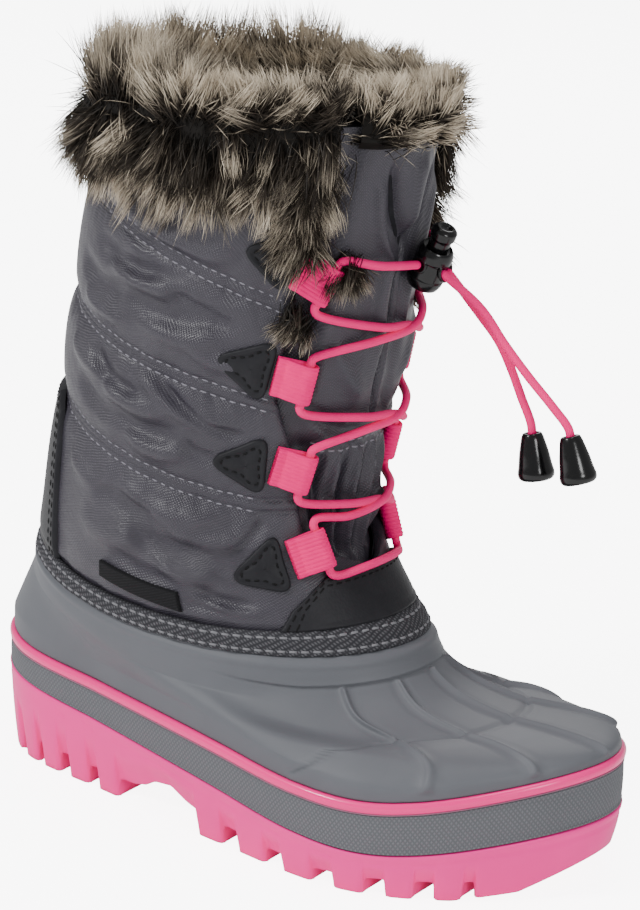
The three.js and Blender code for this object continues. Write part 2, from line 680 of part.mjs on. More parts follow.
// Thin leather on the shaft: vamp patch, back stay and label
function skinPatch(rows, thick, lift) {
  const skin = (extra) => rows.map(({ t, from, to, count }) => {
    const row = [];
    for (let j = 0; j <= count; j += 1) {
      const degrees = from + (to - from) * j / count;
      row.push(onLastDeg(degrees, t, shaftPuff(degrees, t) + lift + extra));
    }
    return row;
  });
  return bodyGeometry(sheetBody(skin(thick), skin(0)));
}
const patchLift = 0.6;
addMesh('vamp_patch', skinPatch([
  { t: seamHigh + 0.03, from: -49, to: 49, count: 14 },
  { t: 7.68, from: -41, to: 41, count: 14 },
  { t: 7.85, from: -33, to: 33, count: 14 },
  { t: 8, from: -24, to: 24, count: 14 },
], leatherThick, patchLift), 'leather');
addMesh('back_stay', skinPatch([
  { t: seamHigh + 0.03, from: 131, to: 229, count: 12 },
  { t: 8, from: 132, to: 228, count: 12 },
  { t: 8.5, from: 133, to: 227, count: 12 },
  { t: 9, from: 135, to: 225, count: 12 },
  { t: 9.4, from: 140, to: 220, count: 12 },
  { t: 9.6, from: 150, to: 210, count: 12 },
], leatherThick, patchLift), 'leather');
addMesh('side_tag', skinPatch([
  { t: seamHigh + 0.04, from: 78, to: 78 + tagReach, count: 4 },
  { t: 7.78, from: 79, to: 79 + tagReach, count: 4 },
], tagThick, patchLift), 'leather');

// Rounded corner patches beside the throat, and their webbing loops
function cornerPatch({ tip, top, bottom }, side) {
  const corners = [tip, top, bottom];
  const middle = [0, 1].map((axis) => corners.reduce((sum, corner) => sum + corner[axis], 0) / 3);
  const ring = [];
  corners.forEach((corner, k) => {
    const before = corners[(k + 2) % 3];
    const after = corners[(k + 1) % 3];
    for (const share of [0.3, 0.12]) ring.push(corner.map((v, axis) => v + (before[axis] - v) * share));
    for (const share of [0.12, 0.3]) ring.push(corner.map((v, axis) => v + (after[axis] - v) * share));
  });
  const place = ([degrees, t], extra) => {
    const offset = shaftPuff(degrees, t) + patchLift + extra;
    return onLastDeg(side * degrees, t, offset);
  };
  return bodyGeometry(padBody(
    ring.map((spot) => place(spot, leatherThick)),
    ring.map((spot) => place(spot, 0)),
    place(middle, leatherThick),
    place(middle, 0.15),
  ));
}
// Frame of a loop: origin at the sewn edge, x to the fold, y along the lace, z out of the boot
function loopFrame({ sewn, fold }, side) {
  const start = onLastDeg(side * sewn[0], sewn[1], 0);
  const end = onLastDeg(side * fold[0], fold[1], 0);
  const middle = directions(rad(side * (sewn[0] + fold[0]) / 2), (sewn[1] + fold[1]) / 2).out;
  const along = end.clone().sub(start).normalize();
  const out = middle.clone().addScaledVector(along, -middle.dot(along)).normalize();
  const up = new THREE.Vector3().crossVectors(out, along).normalize();
  return { start, along, out, up };
}
const foldRadius = cordRadius + webThick + 0.25;
const loopLift = 0.9;          // underside of the webbing above the last
function loopGeometry(loop, side) {
  const { start, along, out, up } = loopFrame(loop, side);
  const outer = [[0, 0], [0, 2 * webThick]];
  const holePoints = [];
  const centreX = webLength - foldRadius;
  const arc = 7;
  for (let k = 0; k <= arc; k += 1) {
    const turn = rad(112 - 224 * k / arc);
    outer.push([centreX + foldRadius * Math.cos(turn), foldRadius + foldRadius * Math.sin(turn)]);
  }
  const hole = foldRadius - webThick;
  for (let k = 0; k < 8; k += 1) {
    const turn = 2 * Math.PI * k / 8;
    holePoints.push(new THREE.Vector2(centreX + hole * Math.cos(turn), foldRadius + hole * Math.sin(turn)));
  }
  const shape = new THREE.Shape(outer.map(([x, y]) => new THREE.Vector2(x, y)));
  shape.holes.push(new THREE.Path(holePoints));
  const geometry = new THREE.ExtrudeGeometry(shape, { depth: webWidth, bevelEnabled: false });
  geometry.translate(0, loopLift, -webWidth / 2);
  const basis = new THREE.Matrix4().makeBasis(along, out, up.clone().multiplyScalar(-1));
  geometry.applyMatrix4(basis.setPosition(start));
  return plainGeometry(geometry);
}
const sides = [{ tag: 'lateral', side: 1 }, { tag: 'medial', side: -1 }];
for (const { tag, side } of sides) {
  patches.forEach((patch, k) => addMesh(`loop_patch_${tag}_${k + 1}`, cornerPatch(patch, side), 'leather'));
  loops.forEach((loop, k) => addMesh(`webbing_loop_${tag}_${k + 1}`, loopGeometry(loop, side), 'cord'));
}

// Lace: where the cord leaves a loop's upper or lower edge
function loopMouth(k, side, upper, beyond) {
  const { start, along, out, up } = loopFrame(loops[k], side);
  const rise = (upper ? 1 : -1) * (up.z > 0 ? 1 : -1) * (webWidth / 2 + beyond);
  return start.clone().addScaledVector(along, webLength - foldRadius).addScaledVector(out, foldRadius + loopLift)
    .addScaledVector(up, rise);
}
const laceLift = tonguePuff + cordRadius + 1.2;
function laceRun(k, side, upper, middle) {
  const mouth = loopMouth(k, side, upper, 0.4);
  const neck = loopMouth(k, side, upper, 1.8);
  const bend = loopMouth(k, side, upper, 3.4).addScaledVector(loopFrame(loops[k], side).along, 1.6);
  return [mouth, neck, bend, ...middle];
}
const crossings = [
  { low: 1, at: [-5, 11.3] },
  { low: 2, at: [-6, 10.1] },
  { low: 3, at: [-5, 8.95] },
];
crossings.forEach(({ low, at }, k) => {
  const level = at[1];
  const over = onLastDeg(at[0], level, laceLift + cordRadius * 0.55);
  const under = onLastDeg(at[0], level, laceLift - cordRadius * 0.55);
  const near = (degrees, t) => onLastDeg(degrees, t, laceLift);
  const upLow = [...laceRun(low, 1, true, [near(14, level - 0.08), over, near(-17, level + 0.12)]),
    ...laceRun(low - 1, -1, false, []).reverse()];
  const downHigh = [...laceRun(low - 1, 1, false, [near(14, level + 0.1), under, near(-17, level - 0.12)]),
    ...laceRun(low, -1, true, []).reverse()];
  const joined = toSolid(tubeGeometry(upLow, cordRadius, 9)).add(toSolid(tubeGeometry(downHigh, cordRadius, 9)));
  addMesh(`lace_crossing_${k + 1}`, fromSolid(joined), 'cord');
});
const barPoints = [...laceRun(3, 1, false, [onLastDeg(10, 8.05, laceLift), onLastDeg(-10, 8.05, laceLift)]),
  ...laceRun(3, -1, false, []).reverse()];
addMesh('lace_bottom_bar', tubeGeometry(barPoints, cordRadius, 10), 'cord');

// Cord lock in front of the tongue, with its button, and the two top runs into it
const lockCentre = vec(166.1 - heelSpot, 5, 201);
const lockAxis = vec(0.42, -0.1, 0.9).normalize();
const lockTurn = new THREE.Quaternion().setFromUnitVectors(vec(0, 1, 0), lockAxis);
function lathe(profile, segments) {
  return plainGeometry(new THREE.LatheGeometry(profile.map(([r, h]) => new THREE.Vector2(r, h)), segments));
}
const lockBody = addMesh('cord_lock_body', lathe([
  [0, -lockLength / 2],
  [lockRadius * 0.8, -lockLength / 2],
  [lockRadius, -lockLength / 2 + 2],
  [lockRadius, lockLength / 2 - 3],
  [lockRadius * 0.86, lockLength / 2],
  [0, lockLength / 2],
], 12), 'plastic');
lockBody.position.copy(lockCentre);
lockBody.quaternion.copy(lockTurn);
const button = addMesh('cord_lock_button', lathe([
  [0, 0],
  [buttonRadius * 0.8, 0],
  [buttonRadius, 1.5],
  [buttonRadius, buttonLength - 1.5],
  [buttonRadius * 0.75, buttonLength],
  [0, buttonLength],
], 12), 'plastic');
button.position.copy(lockCentre).addScaledVector(lockAxis, lockLength / 2 + clear);
button.quaternion.copy(lockTurn);
sides.forEach(({ tag, side }) => {
  const inlet = lockCentre.clone().add(vec(-0.5, -side * (lockRadius + 2 * clear), 1));
  const run = [...laceRun(0, side, true, [onLastDeg(side * 21, 12.28, laceLift + 1)]), inlet];
  addMesh(`lace_top_run_${tag}`, tubeGeometry(run, cordRadius, 9), 'cord');
});

// Tails: the cords leave the lock forward and fall to the bells
const tails = [
  { name: 'long', at: [[186, 6, 189], [196, 5, 179], [206, 4, 170], [217, 3, 161], [223, 3, 155]], bell: [226, 3, 145] },
  { name: 'short', at: [[183, 9, 187], [191, 10, 178], [196, 10, 170], [201, 10, 160], [205, 10, 152]],
    bell: [207, 10, 141] },
];
tails.forEach(({ name, at, bell }, k) => {
  const points = at.map(([x, y, z]) => vec(x - heelSpot, y, z));
  const centre = vec(bell[0] - heelSpot, bell[1], bell[2]);
  const end = points[points.length - 1];
  const axis = centre.clone().sub(end).normalize();
  const mouth = centre.clone().addScaledVector(axis, -bellLength / 2 - clear);
  const start = lockCentre.clone().add(vec(lockRadius + 1.5, k * 3.6 - 1.8, -1));
  addMesh(`lace_tail_${name}`, tubeGeometry([start, ...points, mouth], cordRadius, 12), 'cord');
  const bellMesh = addMesh(`cord_bell_${name}`, lathe([
    [0, -bellLength / 2],
    [bellRadius * 0.52, -bellLength / 2],
    [bellRadius * 0.64, -bellLength / 2 + 1.5],
    [bellRadius * 0.86, -bellLength / 2 + 7.5],
    [bellRadius, bellLength / 2 - 2.5],
    [bellRadius * 0.8, bellLength / 2],
    [0, bellLength / 2],
  ], 12), 'plastic');
  bellMesh.position.copy(centre);
  bellMesh.quaternion.setFromUnitVectors(vec(0, 1, 0), axis);
});

// Fur: rows run up the outside, over the shaft's edge and down inside; locks zigzag along each row
const furRows = [
  { low: 1, out: 2.6, lift: 0, under: 0.5, lock: 1 },
  { low: 0.62, out: 0.8 * furDepth, lift: 0, under: 0.5, lock: 0.9 },
  { low: 0.25, out: furDepth, lift: 0, under: 0.5, lock: 1 },
  { low: 0, out: 0.85 * furDepth, lift: 0.5 * furTop, under: 0.5, lock: 1 },
  { low: 0, out: 0.3 * furDepth, lift: furTop, under: -0.3 * shaftWall, lock: 1.2 },
  { low: 0, out: -0.5 * furDepth, lift: 0.94 * furTop, under: -0.8 * shaftWall, lock: 1.2 },
  { low: 0, out: -1.05 * furDepth, lift: 0.35 * furTop, under: -shaftWall - 0.7, lock: 0.8 },
  { low: 0.2, out: -0.95 * furDepth, lift: 0, under: -shaftWall - 0.9, lock: 0 },
];
const lockSize = 1.5;
const furPast = throatHalf(collar) + tongueLap + 2;
function furSheet(columns, degreesAt, depth) {
  const outer = [];
  const inner = [];
  furRows.forEach((row, i) => {
    const outerRow = [];
    const innerRow = [];
    for (let j = 0; j <= columns; j += 1) {
      const degrees = degreesAt(j / columns);
      const t = collar - row.low * depth(degrees);
      const wave = ((i + j) % 2 ? 1 : -1) * (1 + 0.45 * Math.sin(2.4 * j + i)) * lockSize * row.lock;
      const skin = row.out > 0 && row.lift === 0 ? Math.max(0, shaftPuff(degrees, t)) : 0;
      const drop = i === 0 ? 0.06 * wave : 0;
      const inside = i >= furRows.length - 2;
      const pastTongue = inside ? (tongueWall + 1) * (1 - smooth((foldDegrees(degrees) - furPast) / 7)) : 0;
      const out = row.out + skin + wave * 0.6 - pastTongue;
      outerRow.push(onLastDeg(degrees, t + drop, out, row.lift + 0.5 * wave));
      const overEdge = row.lift > 0 ? 2 * clear : 0;
      innerRow.push(onLastDeg(degrees, t, row.under + skin - pastTongue, overEdge));
    }
    outer.push(outerRow);
    inner.push(innerRow);
  });
  return sheetBody(outer, inner);
}
const furEnd = throatHalf(collar) + 1.5;
const furDrop = (degrees) => 0.85 + 0.36 * (1 - smooth((foldDegrees(degrees) - 40) / 95));
const collarFur = furSheet(34, (share) => furEnd + (360 - 2 * furEnd) * share, furDrop);
let furSolid = toSolid(bodyGeometry(collarFur));
for (const { side } of sides) {
  const strip = [];
  for (const t of [13.7, 13.4, 13.1, 12.9]) strip.push(onLastDeg(side * (throatHalf(t) + 1.5), t, 6.2));
  furSolid = furSolid.add(toSolid(tubeGeometry(strip, 4.3, 6, 10)));
}
addMesh('fur_collar', fromSolid(furSolid), 'fur');

// Fur along the tongue's top edge, between the ends of the collar
const trimRows = [
  { low: 0.3, out: 2.4, lift: 0, under: 4 * clear },
  { low: 0.16, out: 0.75 * furDepth, lift: 0, under: 4 * clear },
  { low: 0, out: 0.85 * furDepth, lift: 0.5 * furTop, under: 3 * clear },
  { low: 0, out: 0.1 * furDepth, lift: furTop, under: -0.3 * tongueWall },
  { low: 0, out: -0.95 * furDepth, lift: 0.8 * furTop, under: -0.7 * tongueWall },
  { low: 0, out: -1.15 * furDepth, lift: 0.25 * furTop, under: -tongueWall - 4 * clear },
  { low: 0.15, out: -0.95 * furDepth, lift: 0, under: -tongueWall - 4 * clear },
];
const trimHalf = furEnd - 8;
const trimColumns = 14;
function trimSheet() {
  const outer = [];
  const inner = [];
  trimRows.forEach((row, i) => {
    const outerRow = [];
    const innerRow = [];
    for (let j = 0; j <= trimColumns; j += 1) {
      const degrees = trimHalf - 2 * trimHalf * j / trimColumns;
      const t = collar - row.low;
      const base = tongueOffset(degrees, t);
      const wave = ((i + j) % 2 ? 1 : -1) * (1 + 0.4 * Math.sin(2.1 * j + i)) * lockSize * 0.8;
      const drop = i === 0 ? 0.05 * wave : 0;
      outerRow.push(onLastDeg(degrees, t + drop, base + row.out + 0.5 * wave, row.lift + 0.4 * wave));
      innerRow.push(onLastDeg(degrees, t, base + row.under, row.lift > 0 ? 2 * clear : 0));
    }
    outer.push(outerRow);
    inner.push(innerRow);
  });
  return sheetBody(outer, inner);
}
addMesh('fur_tongue_trim', bodyGeometry(trimSheet()), 'fur');

export default boot;
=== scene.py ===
# Snow boot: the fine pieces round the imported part. Sizes are millimetres inside, metres in Blender.
import math

import bpy
import numpy as np
from mathutils import Matrix, Vector


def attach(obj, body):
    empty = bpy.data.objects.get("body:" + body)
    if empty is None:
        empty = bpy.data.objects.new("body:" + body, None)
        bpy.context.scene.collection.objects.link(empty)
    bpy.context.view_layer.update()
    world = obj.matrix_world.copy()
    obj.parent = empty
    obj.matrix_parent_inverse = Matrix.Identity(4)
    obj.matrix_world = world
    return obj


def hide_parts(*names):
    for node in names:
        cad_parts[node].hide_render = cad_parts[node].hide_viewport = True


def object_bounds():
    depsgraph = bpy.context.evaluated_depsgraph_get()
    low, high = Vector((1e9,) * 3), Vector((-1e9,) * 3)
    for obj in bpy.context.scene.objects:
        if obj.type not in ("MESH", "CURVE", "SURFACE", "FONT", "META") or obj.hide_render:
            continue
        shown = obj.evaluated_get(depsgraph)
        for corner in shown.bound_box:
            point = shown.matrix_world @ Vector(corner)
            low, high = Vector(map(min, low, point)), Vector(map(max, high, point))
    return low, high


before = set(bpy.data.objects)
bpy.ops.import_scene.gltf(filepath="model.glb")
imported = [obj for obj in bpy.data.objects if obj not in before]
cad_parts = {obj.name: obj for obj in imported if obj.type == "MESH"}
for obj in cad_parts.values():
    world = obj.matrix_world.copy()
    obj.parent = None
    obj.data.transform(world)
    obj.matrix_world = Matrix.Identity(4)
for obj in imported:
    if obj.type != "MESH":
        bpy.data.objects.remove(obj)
CAD_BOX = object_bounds()

bl_info = {
    "name": "Snow boot",
    "version": (1, 0, 0),
    "blender": (4, 5, 0),
    "location": "View3D > Sidebar > Snow boot",
    "description": "Builds the fine pieces of a laced snow boot round its solid model",
    "category": "Add Mesh",
}

MM = 0.001
SEED = 11

# Driving sizes, as in the solid model
LENGTH = 250
BALL_WIDTH = 106
COLLAR_HEIGHT = 250
HEEL_SPOT = 32
FOREFOOT_SPOT = 178
CLEAR = 0.3
SOLE_HEIGHT = 33
SOLE_FLARE = 1.4
FOXING_HEEL = 8.6
FOXING_TOE = 15.9
FOXING_WALL = 2.4
FOXING_PROUD = 0.9
PIPING_HEIGHT = 4
PIPING_PROUD = 1.6
SHELL_WALL = 3
RIB_HALF = 0.8
INSOLE_THICK = 4
SHAFT_WALL = 3.2
BINDING_THICK = 1.9
BINDING_PROUD = 0.7
TONGUE_WALL = 3.2
TONGUE_PUFF = 2.4
LEATHER_THICK = 1.2
PATCH_LIFT = 0.6
WEB_WIDTH = 14
WEB_LENGTH = 12.2
WEB_THICK = 1.1
LOOP_LIFT = 0.9
TAG_THICK = 0.8
TAG_REACH = 28
BELL_LENGTH = 16
BELL_RADIUS = 6.2
LOCK_RADIUS = 6.4
LOCK_LENGTH = 16
BUTTON_RADIUS = 4.4
BUTTON_LENGTH = 7.5
CLEAT_REACH = 15

# Heights along the sole: place is a share of length, height of SOLE_HEIGHT
SOLE_TOP = {
    "at": [0, 0.25, 0.45, 0.65, 0.8, 1],
    "height": [1, 0.818, 0.682, 0.5, 0.485, 0.788],
}
TREAD_FOOT = {
    "at": [0, 0.86, 0.93, 1],
    "height": [0, 0, 0.09, 0.4],
}
# Height of the recesses between the cleats on the side, as shares of SOLE_HEIGHT
RECESS = {
    "at": [0, 0.13, 0.28, 0.32, 0.345, 0.365, 0.4, 0.432, 0.458, 0.52, 0.6, 0.68, 0.78, 0.88, 1],
    "height": [0.26, 0.24, 0.2, 0.22, 0.27, 0.36, 0.4, 0.29, 0.24, 0.2, 0.16, 0.14, 0.18, 0.2, 0.46],
}
UNDER = {
    "at": [0, 0.28, 0.38, 0.47, 0.8, 1],
    "height": [0.5, 0.44, 0.4, 0.24, 0.2, 0.46],
}
# Cleats along each side, as shares of length, and bars across the middle
CLEATS = [
    (0.085, 0.12), (0.132, 0.17), (0.19, 0.23), (0.25, 0.292),
    (0.458, 0.506), (0.536, 0.588), (0.62, 0.672), (0.706, 0.752), (0.78, 0.816), (0.84, 0.872),
]
BARS = [
    {"at": 0.045, "long": 0.056, "wide": 0.34},
    {"at": HEEL_SPOT / LENGTH, "long": 0.072, "wide": 0.34},
    {"at": 0.24, "long": 0.056, "wide": 0.34},
    {"at": 0.49, "long": 0.048, "wide": 0.42},
    {"at": 0.57, "long": 0.048, "wide": 0.5},
    {"at": 0.65, "long": 0.048, "wide": 0.52},
    {"at": FOREFOOT_SPOT / LENGTH, "long": 0.048, "wide": 0.52},
    {"at": 0.79, "long": 0.04, "wide": 0.5},
    {"at": 0.945, "long": 0.12, "wide": 1},
]

# Side fullness of the sections every 30 degrees from toe to heel: lateral side, then medial side
FULLNESS = {
    "sole": ([1.1, 1.18, 1.27, 1, 0.86, 1.02, 1.05], [1.1, 1.18, 1, 0.86, 0.88, 1, 1.05]),
    "cap": ([1.25, 1.2, 1.2, 1, 0.9, 1.02, 1.05], [1.25, 1.12, 0.96, 0.88, 0.9, 1, 1.05]),
    "vamp": ([1.35, 1.2, 1.08, 1, 0.95, 1, 1.05], [1.3, 1.1, 0.96, 0.93, 0.93, 1, 1.05]),
    "seam": ([1.15, 1.08, 1.02, 1, 1, 1, 1.05], [1.15, 1.06, 1, 0.98, 0.98, 1, 1.05]),
    "shaft": ([1.05, 1.02, 1, 1, 1, 1, 1], [1.05, 1.02, 1, 1, 1, 1, 1]),
}
# Sections of the last from the feather line to the collar, in shares of the driving sizes
SECTION_COLUMNS = ("follow", "rise", "rise_toe", "back", "front", "heel", "toe", "side", "half")
SECTIONS = [
    ("sole", 1, 0, 0, 0.008, 0.992, 0, 0, 0, 0.5),
    ("sole", 1, 0.028, 0.014, 0.008, 0.986, 0, 0, 0, 0.495),
    ("cap", 0.75, 0.048, 0.028, 0.014, 0.956, 0.232, 0.2, -0.016, 0.486),
    ("cap", 0.25, 0.068, 0.056, 0.024, 0.904, 0.252, 0.2, -0.036, 0.467),
    ("vamp", 0, 0, 0, 0.032, 0.832, 0.268, 0.204, -0.044, 0.448),
    ("vamp", 0, 0, 0, 0.04, 0.756, 0.284, 0.218, -0.048, 0.443),
    ("seam", 0, 0, 0, 0.046, 0.708, 0.296, 0.244, -0.04, 0.443),
    ("seam", 0, 0, 0, 0.052, 0.682, 0.318, 0.279, -0.028, 0.439),
    ("seam", 0, 0, 0, 0.082, 0.608, 0.4, 0.372, -0.032, 0.425),
    ("shaft", 0, 0, 0, 0.098, 0.584, 0.504, 0.468, -0.02, 0.415),
    ("shaft", 0, 0, 0, 0.11, 0.6, 0.608, 0.58, -0.012, 0.42),
    ("shaft", 0, 0, 0, 0.122, 0.616, 0.704, 0.688, -0.008, 0.425),
    ("shaft", 0, 0, 0, 0.14, 0.632, 0.8, 0.792, -0.004, 0.425),
    ("shaft", 0, 0, 0, 0.156, 0.652, 0.888, 0.896, 0, 0.429),
    ("shaft", 0, 0, 0, 0.172, 0.668, 0.98, 1, 0, 0.434),
]
COLLAR = len(SECTIONS) - 1
# Usual distance between two sections of the shaft, and of the shell
SECTION_MM = 24.0
SHELL_SECTION_MM = 13.0
SEAM_LOW = 7.03
SEAM_HIGH = 7.43
THROAT = {"at": [8.02, 8.5, 9.2, 10.4, 12.4, 14], "half": [0, 31, 33, 48, 48, 40]}
QUILT_SEAMS = [(9.05, 9.8), (10.3, 11.35), (11.6, 13.3)]
RIBS = [(37, 50), (17.5, 28), (0, 3)]
PATCHES = [
    ((67.4, 12.4), (50.2, 12.62), (52, 11.84)),
    ((71, 10.93), (50.2, 11.2), (53, 10.37)),
    ((68, 9.6), (49.2, 9.95), (47.6, 9.21)),
    ((59.5, 8.12), (42, 8.72), (38.5, 7.92)),
]
LOOPS = [
    ((46.5, 12.16), (34.2, 11.96)),
    ((48.6, 10.76), (36.3, 10.67)),
    ((44, 9.6), (30.7, 9.5)),
    ((35.5, 8.36), (23.3, 8.46)),
]
SIDES = (("lateral", 1), ("medial", -1))


# Reading tables
def smooth(x):
    x = np.clip(x, 0, 1)
    return x * x * (3 - 2 * x)


def bump(x, half):
    """One soft hump of height 1, about half wide on each side."""
    return np.exp(-(x / half) ** 2)


def blend(a, b, c, d, u):
    slope_b = (c - a) / 2
    slope_c = (d - b) / 2
    u2 = u * u
    u3 = u2 * u
    from_b = (2 * u3 - 3 * u2 + 1) * b + (u3 - 2 * u2 + u) * slope_b
    return from_b + (3 * u2 - 2 * u3) * c + (u3 - u2) * slope_c


def extended(values):
    values = np.asarray(values, float)
    return np.concatenate([[2 * values[0] - values[1]], values, [2 * values[-1] - values[-2]]])


def list_at(values, index):
    index = np.asarray(index, float)
    k = np.clip(np.floor(index), 0, len(values) - 2).astype(int)
    wide = extended(values)
    return blend(wide[k], wide[k + 1], wide[k + 2], wide[k + 3], index - k)


def smooth_table(table, key, at):
    places = np.asarray(table["at"], float)
    return list_at(table[key], np.interp(at, places, np.arange(len(places))))


def line_table(table, key, at):
    return np.interp(at, table["at"], table[key])


def sole_top_at(x):
    return SOLE_HEIGHT * smooth_table(SOLE_TOP, "height", x / LENGTH)


def seat_at(x):
    """Height of what stands on the outsole."""
    return sole_top_at(x) + CLEAR


def insole_top_at(x):
    return seat_at(x) + INSOLE_THICK


def foxing_at(x):
    return FOXING_HEEL + (FOXING_TOE - FOXING_HEEL) * np.clip(x / LENGTH, 0, 1)


def piping_foot_at(x):
    return sole_top_at(x) + foxing_at(x) + CLEAR


def feather_at(x):
    return piping_foot_at(x) + PIPING_HEIGHT + CLEAR


# The last
ROWS = {name: np.array([row[k + 1] for row in SECTIONS], float) for k, name in enumerate(SECTION_COLUMNS)}
FULL = np.array([[extended(side) for side in FULLNESS[row[0]]] for row in SECTIONS])


def section_point(i, phi):
    """Points of sections i at angles phi: 0 at the toe, 90 degrees lateral, 180 at the heel."""
    row = {name: column[i] for name, column in ROWS.items()}
    front = np.cos(phi)
    turn = np.mod(phi, 2 * np.pi)
    outer = turn <= np.pi
    steps = np.minimum(np.where(outer, turn, 2 * np.pi - turn) / (np.pi / 6), 5.99999)
    k = np.floor(steps).astype(int)
    side = np.where(outer, 0, 1)
    full = blend(*(FULL[i, side, k + step] for step in range(4)), steps - k)
    back = row["back"] * LENGTH
    x = back + (row["front"] * LENGTH - back) * (1 + front) / 2
    y = -row["half"] * BALL_WIDTH * np.sin(phi) * full
    rise = row["rise"] + (row["rise_toe"] - row["rise"]) * np.maximum(0, front) ** 2
    own = row["heel"] * (1 - front) / 2 + row["toe"] * (1 + front) / 2 + row["side"] * np.sin(phi) ** 2
    z = row["follow"] * (feather_at(x) + rise * COLLAR_HEIGHT) + (1 - row["follow"]) * own * COLLAR_HEIGHT
    return np.stack([x - HEEL_SPOT, y, z], axis=-1)


def last(phi, t):
    phi, t = np.broadcast_arrays(np.asarray(phi, float), np.asarray(t, float))
    k = np.clip(np.floor(t), 0, COLLAR - 1).astype(int)
    low = section_point(k, phi)
    high = section_point(k + 1, phi)
    first = section_point(np.maximum(k - 1, 0), phi)
    final = section_point(np.minimum(k + 2, COLLAR), phi)
    first = np.where((k == 0)[..., None], 2 * low - high, first)
    final = np.where((k == COLLAR - 1)[..., None], 2 * high - low, final)
    return blend(first, low, high, final, (t - k)[..., None])


def unit(v):
    return v / np.maximum(np.linalg.norm(v, axis=-1, keepdims=True), 1e-9)


def directions(phi, t):
    """Unit directions on the last: outward, and upward along it."""
    step = 0.01
    up = last(phi, np.minimum(t + step, COLLAR)) - last(phi, np.maximum(t - step, 0))
    around = last(phi + step, t) - last(phi - step, t)
    return unit(np.cross(up, around)), unit(up)


def outward(degrees, t):
    return directions(np.radians(degrees), t)[0]


def on_last(degrees, t, offset, lift=0.0):
    values = (np.asarray(v, float) for v in (degrees, t, offset, lift))
    degrees, t, offset, lift = np.broadcast_arrays(*values)
    phi = np.radians(degrees)
    out, _ = directions(phi, t)
    points = last(phi, t) + out * offset[..., None]
    points[..., 2] += lift
    return points


def fold_degrees(degrees):
    return np.abs(np.mod(np.asarray(degrees) + 180, 360) - 180)


def outline(phi, offset, z):
    """Plan outline of the feather line, moved outward, at height z."""
    step = 0.01
    phi = np.asarray(phi, float)
    zero = np.zeros(phi.shape, int)
    point = section_point(zero, phi)
    along = section_point(zero, phi + step) - section_point(zero, phi - step)
    along[..., 2] = 0
    along = unit(along)
    x = point[..., 0] - along[..., 1] * offset
    y = point[..., 1] + along[..., 0] * offset
    return np.stack([x, y, z + 0 * x], axis=-1)


def station(phi):
    """Distance from the heel back of the feather line at angle phi."""
    phi = np.asarray(phi, float)
    return section_point(np.zeros(phi.shape, int), phi)[..., 0] + HEEL_SPOT


# Meshes
def new_object(name, points, faces, uv=None, tone=None, body="root"):
    """A mesh from points in millimetres and face arrays; uv is per corner, tone a value per point."""
    faces = [f for f in faces if len(f)]
    mesh = bpy.data.meshes.new(name)
    mesh.vertices.add(len(points))
    mesh.vertices.foreach_set("co", (np.asarray(points, float) * MM).ravel())
    corners = np.concatenate([f.ravel() for f in faces])
    sizes = np.concatenate([np.full(len(f), f.shape[1]) for f in faces])
    mesh.loops.add(len(corners))
    mesh.loops.foreach_set("vertex_index", corners.astype(np.int32))
    mesh.polygons.add(len(sizes))
    mesh.polygons.foreach_set("loop_start", np.concatenate([[0], np.cumsum(sizes)[:-1]]).astype(np.int32))
    mesh.update(calc_edges=True)
    mesh.polygons.foreach_set("use_smooth", np.ones(len(sizes), bool))
    if uv is not None:
        layer = mesh.uv_layers.new(name="UVMap")
        layer.data.foreach_set("uv", np.asarray(uv, float).ravel())
    if tone is not None:
        attribute = mesh.attributes.new("tone", "FLOAT", "POINT")
        attribute.data.foreach_set("value", np.asarray(tone, float).ravel())
    obj = bpy.data.objects.new(name, mesh)
    bpy.context.scene.collection.objects.link(obj)
    if body:
        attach(obj, body)
    return obj


def grid_faces(rows, cols, wrap_cols=False, wrap_rows=False, flip=False):
    """Quads of a grid, and the same quads on a grid one wider each way it wraps, for its uv."""
    i, j = np.meshgrid(np.arange(rows if wrap_rows else rows - 1), np.arange(cols if wrap_cols else cols - 1),
                       indexing="ij")

    def quads(width, height):
        right = (j + 1) % width
        below = (i + 1) % height
        stack = [i * width + j, i * width + right, below * width + right, below * width + j]
        found = np.stack([v.ravel() for v in stack], axis=1)
        return found[:, ::-1] if flip else found
    return quads(cols, rows), quads(cols + wrap_cols, rows + wrap_rows)


def spread_uv(grid, wrap_cols=False, wrap_rows=False):
    """Arc lengths in millimetres along and across a grid of points."""
    if wrap_cols:
        grid = np.concatenate([grid, grid[:, :1]], axis=1)
    if wrap_rows:
        grid = np.concatenate([grid, grid[:1]], axis=0)
    along = np.linalg.norm(np.diff(grid, axis=1), axis=2)
    across = np.linalg.norm(np.diff(grid, axis=0), axis=2)
    u = np.concatenate([np.zeros((grid.shape[0], 1)), np.cumsum(along, axis=1)], axis=1)
    u = np.broadcast_to(u.mean(axis=0, keepdims=True), grid.shape[:2])
    v = np.concatenate([np.zeros((1, grid.shape[1])), np.cumsum(across, axis=0)], axis=0)
    return np.stack([u, v], axis=-1)


def grid_object(name, grid, wrap_cols=False, wrap_rows=False, flip=False, uv=None, tone=None, extra=()):
    rows, cols = grid.shape[:2]
    faces, uv_faces = grid_faces(rows, cols, wrap_cols, wrap_rows, flip)
    if uv is None:
        uv = spread_uv(grid, wrap_cols, wrap_rows)
    corner_uv = uv.reshape(-1, 2)[uv_faces.ravel()]
    more = [np.asarray(f) for f in extra]
    flat = grid.reshape(-1, 3)
    for f in more:
        corner_uv = np.concatenate([corner_uv, np.zeros((f.size, 2))])
    return new_object(name, flat, [faces, *more], corner_uv, None if tone is None else tone.ravel())


def cap_faces(first, count, flip):
    """Quads that close a ring of count points starting at index first, from side to side."""
    j = np.arange(count // 2 - 1)
    quads = np.stack([first + j, first + j + 1, first + (count - j - 2), first + (count - j - 1)], axis=1)
    return quads[:, ::-1] if flip else quads


